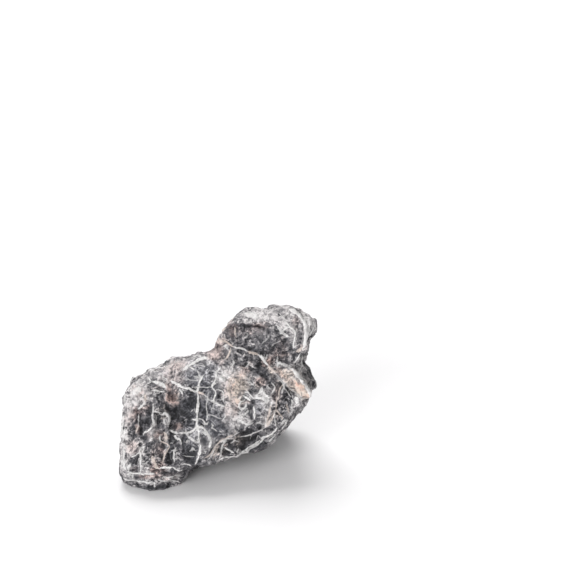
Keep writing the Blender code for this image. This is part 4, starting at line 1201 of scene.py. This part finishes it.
class Sketch:
    """A short way to write a node graph."""

    def __init__(self, material: bpy.types.Material) -> None:
        """Takes over the material's node tree, with its shader."""
        self.tree = material.node_tree
        self.shader = self.tree.nodes["Principled BSDF"]

    def node(self, kind: str, **settings: object) -> bpy.types.Node:
        """Makes a node.

        Args:
            kind: The node's type.
            settings: Its settings, by name.

        Returns:
            The node.
        """
        made = self.tree.nodes.new(kind)
        for name, value in settings.items():
            setattr(made, name, value)
        return made

    def feed(self, socket: bpy.types.NodeSocket, value: object) -> None:
        """Links a socket to another, or sets it to a plain value.

        Args:
            socket: The socket that is fed.
            value: The other socket, or the value.
        """
        if isinstance(value, bpy.types.NodeSocket):
            self.tree.links.new(value, socket)
        else:
            socket.default_value = value

    def math(self, kind: str, first: object, second: object) -> bpy.types.NodeSocket:
        """Works out two numbers.

        Args:
            kind: What is done with them.
            first: The first number.
            second: The second number.

        Returns:
            The result.
        """
        made = self.node("ShaderNodeMath", operation=kind)
        self.feed(made.inputs[0], first)
        self.feed(made.inputs[1], second)
        return made.outputs[0]

    def add(self, first: object, *others: object) -> object:
        """The sum of numbers, added one after the other.

        Args:
            first: The first number.
            others: The numbers to add to it.

        Returns:
            The sum.
        """
        for other in others:
            first = self.math("ADD", first, other)
        return first

    def times(self, first: object, second: object) -> bpy.types.NodeSocket:
        """One number times another."""
        return self.math("MULTIPLY", first, second)

    def vector(self, kind: str, first: object, second: object) -> bpy.types.NodeSocket:
        """Works out two vectors.

        Args:
            kind: What is done with them.
            first: The first vector.
            second: The second vector.

        Returns:
            The result, a number or a vector.
        """
        made = self.node("ShaderNodeVectorMath", operation=kind)
        self.feed(made.inputs[0], first)
        self.feed(made.inputs[1], second)
        return made.outputs["Value" if kind in ("LENGTH", "DOT_PRODUCT") else "Vector"]

    def scaled(self, first: object, factor: object) -> bpy.types.NodeSocket:
        """Scales a vector.

        Args:
            first: The vector.
            factor: The number that it is multiplied by.

        Returns:
            The scaled vector.
        """
        made = self.node("ShaderNodeVectorMath", operation="SCALE")
        self.feed(made.inputs[0], first)
        self.feed(made.inputs["Scale"], factor)
        return made.outputs["Vector"]

    def split(self, value: object) -> tuple:
        """Splits a vector.

        Args:
            value: The vector.

        Returns:
            Its three numbers.
        """
        made = self.node("ShaderNodeSeparateXYZ")
        self.feed(made.inputs[0], value)
        return tuple(made.outputs)

    def step(self, value: object, low: float, high: float, to_low: float = 0.0,
             to_high: float = 1.0) -> bpy.types.NodeSocket:
        """Takes a smooth step.

        Args:
            value: The number that goes in.
            low: Where the step begins.
            high: Where it ends.
            to_low: What comes out below it.
            to_high: What comes out above it.

        Returns:
            The number that comes out.
        """
        made = self.node("ShaderNodeMapRange", interpolation_type="SMOOTHSTEP")
        limits = {"From Min": low, "From Max": high, "To Min": to_low, "To Max": to_high}
        for name, number in limits.items():
            made.inputs[name].default_value = number
        self.feed(made.inputs["Value"], value)
        return made.outputs["Result"]

    def noise(self, place: object, size: float, detail: float) -> bpy.types.NodeSocket:
        """Rough noise around zero.

        Args:
            place: Where it is read.
            size: Size of its lumps.
            detail: How many finer layers it has.

        Returns:
            The noise.
        """
        made = self.node("ShaderNodeTexNoise")
        self.feed(made.inputs["Vector"], place)
        made.inputs["Scale"].default_value = 1.0 / size
        made.inputs["Detail"].default_value = detail
        made.inputs["Roughness"].default_value = NOISE_ROUGHNESS
        return self.math("SUBTRACT", made.outputs["Fac"], MIDDLE_COLOUR[0])

    def wander(self, place: object, size: float, detail: float) -> bpy.types.NodeSocket:
        """A vector around zero that changes from place to place.

        Args:
            place: Where it is read.
            size: How far apart it changes.
            detail: How many finer layers it has.

        Returns:
            The vector.
        """
        made = self.node("ShaderNodeTexNoise")
        self.feed(made.inputs["Vector"], place)
        made.inputs["Scale"].default_value = 1.0 / size
        made.inputs["Detail"].default_value = detail
        return self.vector("SUBTRACT", made.outputs["Color"], MIDDLE_COLOUR)

    def cells(self, place: object, size: float, feature: str) -> bpy.types.Node:
        """Cells around scattered points.

        Args:
            place: Where they are read.
            size: Size of a cell.
            feature: What is read of them.

        Returns:
            The node.
        """
        made = self.node("ShaderNodeTexVoronoi", feature=feature)
        self.feed(made.inputs["Vector"], place)
        made.inputs["Scale"].default_value = 1.0 / size
        return made

    def read(self, name: str, output: str = "Fac") -> bpy.types.NodeSocket:
        """A named attribute of the mesh."""
        return self.node("ShaderNodeAttribute", attribute_name=name).outputs[output]

    def blend(self, share: object, first: object, second: object,
              how: str = "MIX") -> bpy.types.NodeSocket:
        """Mixes two colours.

        Args:
            share: How much of the second one comes in.
            first: The first colour.
            second: The second colour.
            how: The way that they mix.

        Returns:
            The mixed colour.
        """
        made = self.node("ShaderNodeMix", data_type="RGBA", blend_type=how)
        self.feed(made.inputs[MIX_SHARE], share)
        self.feed(made.inputs[MIX_FIRST], first)
        self.feed(made.inputs[MIX_SECOND], second)
        return made.outputs[MIX_COLOUR]

    def ramp(self, value: object, stops: tuple) -> bpy.types.NodeSocket:
        """Turns a number into a colour.

        Args:
            value: The number.
            stops: Positions and colours.

        Returns:
            The colour.
        """
        made = self.node("ShaderNodeValToRGB")
        self.feed(made.inputs["Fac"], value)
        elements = made.color_ramp.elements
        elements[0].position = stops[0][0]
        elements[1].position = stops[-1][0]
        for position, _ in stops[1:-1]:
            elements.new(position)
        for element, (_, colour) in zip(elements, stops):
            element.color = colour
        return made.outputs["Color"]


@dataclass(frozen=True)
class Lattice:
    """Places that patterns are read at: plain, and shaken, nudged, bent or squeezed into beds."""

    plain: bpy.types.NodeSocket
    shaken: bpy.types.NodeSocket
    nudged: bpy.types.NodeSocket
    bent: bpy.types.NodeSocket
    bedded: bpy.types.NodeSocket


@dataclass(frozen=True)
class Mottle:
    """One layer of mottling: size of its lumps, and how far it changes the tone."""

    size: float
    change: float


@dataclass(frozen=True)
class Chips:
    """Flat chips of one size: how far they change the tone, and how far they tilt."""

    size: float
    change: float
    tilt: float


@dataclass(frozen=True)
class Crust:
    """A tinted crust: its tone on the mesh, its tint on grey rock, and how much lighter it is."""

    tone: Tone
    tint: tuple
    lift: float


@dataclass(frozen=True)
class Streaks:
    """Thin straight streaks of one lie: their turn, thickness, length and change of tone."""

    turn: tuple
    thick: float
    length: float
    change: float


@dataclass(frozen=True)
class Specks:
    """Round specks: how far apart, their radius as a share of that, and their change of tone."""

    apart: float
    radius: float
    change: float


@dataclass(frozen=True)
class Crackle:
    """A net of hairlines: size of its meshes, and how much lighter the lines are."""

    size: float
    change: float


@dataclass(frozen=True)
class FineLines:
    """Straight streaks, specks and hairlines in the rock, as changes of tone."""

    streaks: tuple = (
        Streaks((20, 50, 10), 1.3, 9.0, 0.52),
        Streaks((80, -40, 70), 1.2, 7.0, 0.46),
        Streaks((-35, 15, 125), 1.3, 10.0, 0.52),
        Streaks((10, -70, 30), 1.1, 6.0, 0.44),
        Streaks((55, 25, -50), 1.4, 9.0, -0.40),
        Streaks((-60, 60, 15), 1.2, 7.0, -0.36),
    )
    streak_noise: tuple = (1.0, 1.0)
    streak_edge: tuple = (0.14, 0.21)
    # Groups of streaks, as a multiple of their length, and groups of hairlines likewise
    streak_groups: float = 1.6
    streak_group_edge: tuple = (-0.08, 0.12)
    specks: tuple = (Specks(2.3, 0.19, -0.36), Specks(2.7, 0.16, 0.42))
    speck_edge: tuple = (0.6, 1.4)
    crackles: tuple = (Crackle(6.5, 0.34), Crackle(3.2, 0.22))
    crackle_groups: float = 1.7
    crackle_group_edge: tuple = (-0.03, 0.12)
    hairline: float = 0.24
    group_detail: float = 2.0

    def draw(self, sketch: Sketch, value: object, lattice: Lattice, busy: object) -> object:
        """Draws the lines.

        Args:
            sketch: The node graph.
            value: The tone under them.
            lattice: The places.
            busy: How strong the fine texture is.

        Returns:
            The tone with the lines.
        """
        for kind in self.streaks:
            turned = sketch.node("ShaderNodeMapping", vector_type="TEXTURE")
            sketch.feed(turned.inputs["Vector"], lattice.bent)
            turned.inputs["Rotation"].default_value = [math.radians(turn) for turn in kind.turn]
            turned.inputs["Scale"].default_value = (kind.thick, kind.length, kind.length)
            grain = sketch.noise(turned.outputs[0], *self.streak_noise)
            line = sketch.step(grain, *self.streak_edge)
            apart = kind.length * self.streak_groups
            groups = sketch.noise(lattice.shaken, apart, self.group_detail)
            change = sketch.step(groups, *self.streak_group_edge, 0.0, kind.change)
            value = sketch.add(value, sketch.times(sketch.times(line, busy), change))
        for kind in self.specks:
            away = sketch.cells(lattice.nudged, kind.apart, "F1").outputs["Distance"]
            inner, outer = (kind.radius * edge for edge in self.speck_edge)
            spot = sketch.step(away, inner, outer, kind.change, 0.0)
            value = sketch.add(value, sketch.times(spot, busy))
        for kind in self.crackles:
            edge = sketch.cells(lattice.nudged, kind.size, "DISTANCE_TO_EDGE").outputs["Distance"]
            line = sketch.step(edge, 0.0, self.hairline / kind.size, 1.0, 0.0)
            apart = kind.size * self.crackle_groups
            groups = sketch.noise(lattice.shaken, apart, self.group_detail)
            change = sketch.step(groups, *self.crackle_group_edge, 0.0, kind.change)
            value = sketch.add(value, sketch.times(line, change))
        return value


@dataclass(frozen=True)
class VeinFilling:
    """Calcite and rust in the veins: colours, frayed and cloudy edges, and the rock beside them."""

    white: tuple = (0.930, 0.910, 0.900, 1.0)
    rust: tuple = (0.800, 0.700, 0.640, 1.0)
    # The rock's change of tone near a vein and right beside it, with the distances in half widths
    halo: float = 0.10
    halo_edge: tuple = (1.6, 4.5)
    rim: float = -0.16
    rim_edge: tuple = (1.0, 2.0)
    # How far fine and middle mottling fray a vein's edge, and how cloudy the filling is
    fray: tuple = (2.0, 1.3)
    cloudy: float = 1.6
    clear: float = 0.96
    edge: tuple = (0.72, 1.12)
    limit: tuple = (2.4, 3.2)

    def shade(self, sketch: Sketch, value: object) -> object:
        """Lightens the rock near veins and darkens it right beside them.

        Args:
            sketch: The node graph.
            value: The tone of the rock.

        Returns:
            The tone with both.
        """
        for ore in Ore:
            away = sketch.split(sketch.read(ore.value, "Vector"))[2]
            near = sketch.add(sketch.step(away, *self.halo_edge, self.halo, 0.0),
                              sketch.step(away, *self.rim_edge, self.rim, 0.0))
            near = sketch.times(near, sketch.read(ore.value + "_bright"))
            value = sketch.add(value, near)
        return value

    def lay(self, sketch: Sketch, colour: object, noises: list) -> tuple:
        """Lays the veins over the rock.

        Args:
            sketch: The node graph.
            colour: The colour under the veins.
            noises: Mottling, from coarse to fine, around zero.

        Returns:
            The colour with the veins, and a mask of the veins.
        """
        _, middle, fine = noises
        fray = sketch.add(sketch.times(fine, self.fray[0]), sketch.times(middle, self.fray[1]))
        cloudy = sketch.add(sketch.times(middle, self.cloudy), self.clear,
                            sketch.times(fine, self.cloudy))
        cloudy = sketch.math("MINIMUM", cloudy, 1.0)
        masks = []
        for ore, tint in ((Ore.RUST, self.rust), (Ore.CALCITE, self.white)):
            right, up, away = sketch.split(sketch.read(ore.value, "Vector"))
            flat = sketch.node("ShaderNodeCombineXYZ")
            sketch.feed(flat.inputs[0], right)
            sketch.feed(flat.inputs[1], up)
            length = sketch.vector("LENGTH", flat.outputs[0], (0.0, 0.0, 0.0))
            mask = sketch.step(sketch.add(length, fray), *self.edge, 1.0, 0.0)
            mask = sketch.times(mask, sketch.step(away, *self.limit, 1.0, 0.0))
            mask = sketch.times(mask, sketch.read(ore.value + "_bright"))
            masks.append(sketch.times(mask, cloudy))
            colour = sketch.blend(masks[-1], colour, tint)
        return colour, sketch.math("MAXIMUM", *masks)


@dataclass(frozen=True)
class Limestone:
    """Weathered limestone: its greys, crusts, mottling, chips, lines, veins and gloss."""

    name: str = "limestone"
    greys: tuple = (
        (0.00, (0.012, 0.012, 0.014, 1.0)),
        (0.18, (0.040, 0.040, 0.046, 1.0)),
        (0.36, (0.106, 0.103, 0.114, 1.0)),
        (0.54, (0.243, 0.233, 0.241, 1.0)),
        (0.72, (0.456, 0.434, 0.438, 1.0)),
        (0.92, (0.800, 0.765, 0.765, 1.0)),
    )
    crusts: tuple = (
        Crust(Tone.PINK, (1.0, 0.865, 0.825, 1.0), 0.10),
        Crust(Tone.BROWN, (1.0, 0.780, 0.710, 1.0), 0.04),
        Crust(Tone.OCHRE, (1.0, 0.910, 0.810, 1.0), 0.05),
        Crust(Tone.SLATE, (0.925, 0.955, 1.000, 1.0), 0.0),
    )
    crust_edge: tuple = (0.10, 0.90)
    crust_fray: float = 0.8
    # The tone of plain rock, what patches and the crest value add to it (worn crests lighter, hollows
    # darker as painted shade), and how patches fray
    middle: float = 0.338
    patches: tuple = ((Tone.PALE, 0.45), (Tone.DARK, -0.30))
    patch_fray: tuple = (0.5, 0.9)
    crest_wear_and_shade: float = 0.18
    mottles: tuple = (Mottle(4.6, 0.54), Mottle(1.8, 0.44), Mottle(0.95, 0.55))
    mottle_detail: float = 5.0
    chips: tuple = (Chips(6.0, 0.26, 0.6), Chips(2.6, 0.34, 1.0), Chips(1.25, 0.40, 0.9))
    # How much quieter the fine texture is in patches, and how it comes and goes elsewhere
    quiet: tuple = ((Tone.DARK, 0.68), (Tone.PALE, 0.42), (Tone.SLATE, 0.45))
    uneven: tuple = (13.0, 2.0)
    uneven_step: tuple = (-0.14, 0.14, 0.55, 1.25)
    # Size and detail of the noise that shakes or bends the patterns, and how far it does
    shaking: tuple = (5.0, 3.0)
    shaken: float = 3.2
    nudged: float = 1.3
    bending: tuple = (14.0, 0.0)
    bent: float = 2.6
    squeezed: float = 1.6
    lines: FineLines = FineLines()
    veins: VeinFilling = VeinFilling()
    gloss: float = 0.4
    roughness: float = 0.66
    uneven_gloss: float = 0.5
    dark_gloss: float = 0.18
    grain_height: float = 0.9
    vein_height: float = 0.2
    bump_m: float = 0.5 * MM

    def material(self) -> bpy.types.Material:
        """Builds the node material.

        Returns:
            The material.
        """
        made = bpy.data.materials.new(self.name)
        made.use_nodes = True
        sketch = Sketch(made)
        lattice = self.lattice(sketch)
        noises = [sketch.noise(lattice.bedded, mottle.size, self.mottle_detail)
                  for mottle in self.mottles]
        chips = [self.chip(sketch, lattice.nudged, kind.size) for kind in self.chips]
        busy = self.busy(sketch, lattice.plain)
        tone, masks = self.tone(sketch, noises, chips, busy)
        tone = self.lines.draw(sketch, tone, lattice, busy)
        colour = sketch.ramp(self.veins.shade(sketch, tone), self.greys)
        for crust, mask in zip(self.crusts, masks):
            colour = sketch.blend(mask, colour, crust.tint, "MULTIPLY")
        colour, vein = self.veins.lay(sketch, colour, noises)
        sketch.feed(sketch.shader.inputs["Base Color"], colour)
        self.surface(sketch, noises, chips, vein)
        return made

    def lattice(self, sketch: Sketch) -> Lattice:
        """Makes the places that patterns are read at.

        Args:
            sketch: The node graph.

        Returns:
            The places.
        """
        place = sketch.node("ShaderNodeTexCoord").outputs["Object"]
        plain = sketch.scaled(place, 1.0 / MM)
        shake = sketch.wander(plain, *self.shaking)
        shaken = sketch.vector("ADD", plain, sketch.scaled(shake, self.shaken))
        nudged = sketch.vector("ADD", plain, sketch.scaled(shake, self.nudged))
        bend = sketch.wander(plain, *self.bending)
        bent = sketch.vector("ADD", plain, sketch.scaled(bend, self.bent))
        bed = tuple(Vector(BED).normalized())
        rise = sketch.times(sketch.vector("DOT_PRODUCT", shaken, bed), self.squeezed)
        bedded = sketch.vector("ADD", shaken, sketch.scaled(bed, rise))
        return Lattice(plain, shaken, nudged, bent, bedded)

    def chip(self, sketch: Sketch, place: object, size: float) -> tuple:
        """Flat chips of one size, each with its own tilt and shade.

        Args:
            sketch: The node graph.
            place: Where they are read.
            size: Size of the chips.

        Returns:
            The height within the chips, and their shade, each around zero.
        """
        cell = sketch.cells(place, size, "F1")
        lean = sketch.vector("SUBTRACT", cell.outputs["Color"], MIDDLE_COLOUR)
        arm = sketch.vector("SUBTRACT", sketch.scaled(place, 1.0 / size), cell.outputs["Position"])
        return sketch.vector("DOT_PRODUCT", lean, arm), sketch.split(lean)[0]

    def busy(self, sketch: Sketch, place: object) -> bpy.types.NodeSocket:
        """How strong the fine texture is: quiet in slabs and crusts, and uneven elsewhere.

        Args:
            sketch: The node graph.
            place: Where it is read.

        Returns:
            A factor on the fine texture.
        """
        strength = sketch.step(sketch.noise(place, *self.uneven), *self.uneven_step)
        for tone, share in self.quiet:
            calm = sketch.times(sketch.read(tone.value), share)
            strength = sketch.times(strength, sketch.math("SUBTRACT", 1.0, calm))
        return strength

    def tone(self, sketch: Sketch, noises: list, chips: list, busy: object) -> tuple:
        """How light the rock is, and where the crusts lie.

        Args:
            sketch: The node graph.
            noises: Mottling, from coarse to fine, around zero.
            chips: Tilt and shade of the chips.
            busy: How strong the fine texture is.

        Returns:
            The tone, 0 to 1, and a mask for each crust.
        """
        parts = [sketch.times(part, mottle.change) for part, mottle in zip(noises, self.mottles)]
        parts += [sketch.times(shade, kind.change) for (_, shade), kind in zip(chips, self.chips)]
        value = sketch.times(sketch.add(*parts), busy)
        # Lighter on worn crests, and darker in hollows as painted shade
        crest_wear_and_shade = sketch.times(sketch.read("crest"), self.crest_wear_and_shade)
        value = sketch.add(value, self.middle, crest_wear_and_shade)
        ragged = sketch.add(*[sketch.times(part, fray)
                              for part, fray in zip(noises, self.patch_fray)])
        for tone, change in self.patches:
            share = sketch.times(sketch.read(tone.value), sketch.add(1.0, ragged))
            value = sketch.add(value, sketch.times(share, change))
        masks = []
        for crust in self.crusts:
            frayed = sketch.times(ragged, self.crust_fray)
            mask = sketch.add(sketch.read(crust.tone.value), frayed)
            masks.append(sketch.step(mask, *self.crust_edge))
            value = sketch.add(value, sketch.times(masks[-1], crust.lift))
        return value, masks

    def surface(self, sketch: Sketch, noises: list, chips: list, vein: object) -> None:
        """Gloss and bump.

        Args:
            sketch: The node graph.
            noises: Mottling, from coarse to fine, around zero.
            chips: Tilt and shade of the chips.
            vein: Mask of the veins.
        """
        _, middle, fine = noises
        rough = sketch.add(self.roughness, sketch.times(middle, self.uneven_gloss))
        dark = sketch.times(sketch.read(Tone.DARK.value), self.dark_gloss)
        sketch.feed(sketch.shader.inputs["Roughness"], sketch.math("SUBTRACT", rough, dark))
        sketch.shader.inputs["Specular IOR Level"].default_value = self.gloss
        height = sketch.times(fine, self.grain_height)
        for (tilt, _), kind in zip(chips, self.chips):
            height = sketch.add(height, sketch.times(tilt, kind.size * kind.tilt))
        height = sketch.add(height, sketch.times(middle, self.grain_height),
                            sketch.times(vein, self.vein_height))
        bump = sketch.node("ShaderNodeBump")
        bump.inputs["Strength"].default_value = 1.0
        bump.inputs["Distance"].default_value = self.bump_m
        sketch.feed(bump.inputs["Height"], height)
        sketch.feed(sketch.shader.inputs["Normal"], bump.outputs[0])


@dataclass
class SeiryuStone:
    """The stone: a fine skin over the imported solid, with its relief, markings and finish."""

    node: str = "stone"
    piece: str = "seiryu_stone"
    grain: float = 0.72
    margin: float = 0.02
    foot_height: float = 0.45
    foot_slope: float = -0.8
    # Smoothing rounds and full height of the crest value, which lightens worn crests and paints shade
    # in hollows
    crests: tuple = ((3, 0.16), (16, 0.6))
    relief: Relief = Relief()
    finish: Limestone = Limestone()

    def skin_over(self) -> Skin:
        """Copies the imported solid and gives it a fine, even skin.

        Returns:
            The skin.
        """
        holder = bpy.data.objects.new("holder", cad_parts[self.node].data.copy())
        bpy.context.scene.collection.objects.link(holder)
        remesh = holder.modifiers.new("skin", "REMESH")
        remesh.mode = "VOXEL"
        remesh.voxel_size = self.grain * MM
        graph = bpy.context.evaluated_depsgraph_get()
        mesh = bpy.data.meshes.new_from_object(holder.evaluated_get(graph))
        bpy.data.objects.remove(holder)
        return Skin(mesh)

    def hold(self, skin: Skin, foot: np.ndarray) -> None:
        """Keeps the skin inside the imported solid's box, and its foot on the ground.

        Args:
            skin: The skin, changed in place.
            foot: Which places lie on the foot.
        """
        low, high = (np.array(corner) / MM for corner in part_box(self.node))
        skin.places = np.clip(skin.places, low + self.margin, high - self.margin)
        skin.places[foot, 2] = 0.0

    def build(self, marks: Markings) -> bpy.types.Object:
        """Makes the stone's mesh.

        Args:
            marks: Veins and patches to lay.

        Returns:
            The stone.
        """
        skin = self.skin_over()
        foot = (skin.places[:, 2] < self.foot_height) & (skin.ways[:, 2] < self.foot_slope)
        skin.places = skin.spread(skin.places, self.relief.smoothing)
        marks.lay(skin)
        self.relief.work(skin, marks)
        self.hold(skin, foot)
        skin.write()
        marks.lay(skin)
        marks.write(skin)
        # Crest value for the material: lighter on worn crests, darker in hollows as painted shade
        crest_wear_and_shade = [np.clip(skin.crests(rounds) / full, -1.0, 1.0) for rounds, full in self.crests]
        skin.note("crest", np.mean(crest_wear_and_shade, axis=0))
        skin.mesh.name = self.piece
        skin.mesh.shade_smooth()
        stone = bpy.data.objects.new(self.piece, skin.mesh)
        bpy.context.scene.collection.objects.link(stone)
        return stone

    def dress(self, stone: bpy.types.Object) -> None:
        """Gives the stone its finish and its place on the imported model.

        Args:
            stone: The stone.
        """
        stone.data.materials.clear()
        stone.data.materials.append(self.finish.material())
        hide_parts(self.node)
        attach(stone, "root")


@dataclass(frozen=True)
class Lamp:
    """A wide sun lamp: its name, where it shines from, its strength and how wide it is."""

    name: str
    way: tuple
    strength: float
    spread: float


@dataclass(frozen=True)
class FloorPaper:
    """The floor's matt finish."""

    name: str = "floor_paper"
    colour: tuple = (0.93, 0.925, 0.93, 1.0)
    roughness: float = 0.9
    gloss: float = 0.1

    def material(self) -> bpy.types.Material:
        """Builds the material.

        Returns:
            The material.
        """
        made = bpy.data.materials.new(self.name)
        made.use_nodes = True
        shader = made.node_tree.nodes["Principled BSDF"]
        shader.inputs["Base Color"].default_value = self.colour
        shader.inputs["Roughness"].default_value = self.roughness
        shader.inputs["Specular IOR Level"].default_value = self.gloss
        return made


@dataclass(frozen=True)
class Studio:
    """Pale floor, soft light and the camera of the photograph."""

    drawing: Drawing
    sky: float = 0.42
    sky_colour: tuple = (1.0, 1.0, 1.0, 1.0)
    lamps: tuple = (
        Lamp("lamp_behind", (-0.16, 0.62, 0.76), 2.4, 42.0),
        Lamp("lamp_front", (-0.56, -0.78, 0.28), 2.4, 40.0),
    )
    floor_side: float = 8000.0
    paper: FloorPaper = FloorPaper()
    aim: tuple = (41.4, 104.4, 34.0)
    distance: float = 1300.0
    lens: float = 135.4
    sensor: float = 36.0
    level_turn: float = 90.0

    def floor(self) -> None:
        """A plain floor at the stone's foot."""
        half = self.floor_side / 2.0 * MM
        mesh = bpy.data.meshes.new("floor")
        corners = [(-half, -half, 0.0), (half, -half, 0.0), (half, half, 0.0), (-half, half, 0.0)]
        mesh.from_pydata(corners, [], [(0, 1, 2, 3)])
        mesh.materials.append(self.paper.material())
        floor = bpy.data.objects.new("floor", mesh)
        bpy.context.scene.collection.objects.link(floor)

    def light(self) -> None:
        """A white room with two wide sun lamps, one from behind and one from the front left."""
        scene = bpy.context.scene
        world = bpy.data.worlds.new("room")
        world.use_nodes = True
        back = world.node_tree.nodes["Background"]
        back.inputs["Color"].default_value = self.sky_colour
        back.inputs["Strength"].default_value = self.sky
        scene.world = world
        for kind in self.lamps:
            lamp = bpy.data.lights.new(kind.name, "SUN")
            lamp.energy = kind.strength
            lamp.angle = math.radians(kind.spread)
            holder = bpy.data.objects.new(kind.name, lamp)
            holder.location = Vector(kind.way)
            holder.rotation_euler = Vector(kind.way).to_track_quat("Z", "Y").to_euler()
            scene.collection.objects.link(holder)
        scene.view_settings.view_transform = "Standard"

    def camera(self) -> None:
        """The camera, at the photograph's angle."""
        right, up, out = self.aim
        place = np.array((right, 0.0, 0.0)) + up * self.drawing.up()
        place = place + (out + self.distance) * self.drawing.near()
        lens = bpy.data.cameras.new("camera")
        lens.sensor_width = self.sensor
        lens.lens = self.lens
        camera = bpy.data.objects.new("camera", lens)
        camera.location = Vector(place - np.array(self.drawing.settled)) * MM
        camera.rotation_euler = (math.radians(self.level_turn - self.drawing.sight), 0.0, 0.0)
        bpy.context.scene.collection.objects.link(camera)
        bpy.context.scene.camera = camera


def main() -> None:
    """Builds the stone, dresses it and sets the studio up."""
    logging.basicConfig(level=logging.INFO, format="%(message)s", stream=sys.stdout)
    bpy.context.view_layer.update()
    drawing = Drawing()
    veins = LONG_VEINS + LOWER_VEINS + UPPER_LEFT_VEINS + CROWN_VEINS + RIGHT_VEINS
    spots = SHOULDER_PATCHES + LOWER_LEFT_PATCHES + MIDDLE_PATCHES + CROWN_PATCHES
    builder = SeiryuStone()
    stone = builder.build(Markings(drawing, veins, SHEETS, spots, DRIFTS))
    builder.dress(stone)
    faces = sum(len(face.vertices) - 2 for face in stone.data.polygons)
    LOG.info("stone: %d vertices, %d triangles", len(stone.data.vertices), faces)
    studio = Studio(drawing)
    studio.floor()
    studio.light()
    studio.camera()
    LOG.info("studio: floor, room, two lamps and camera")


if __name__ == "__main__":
    main()
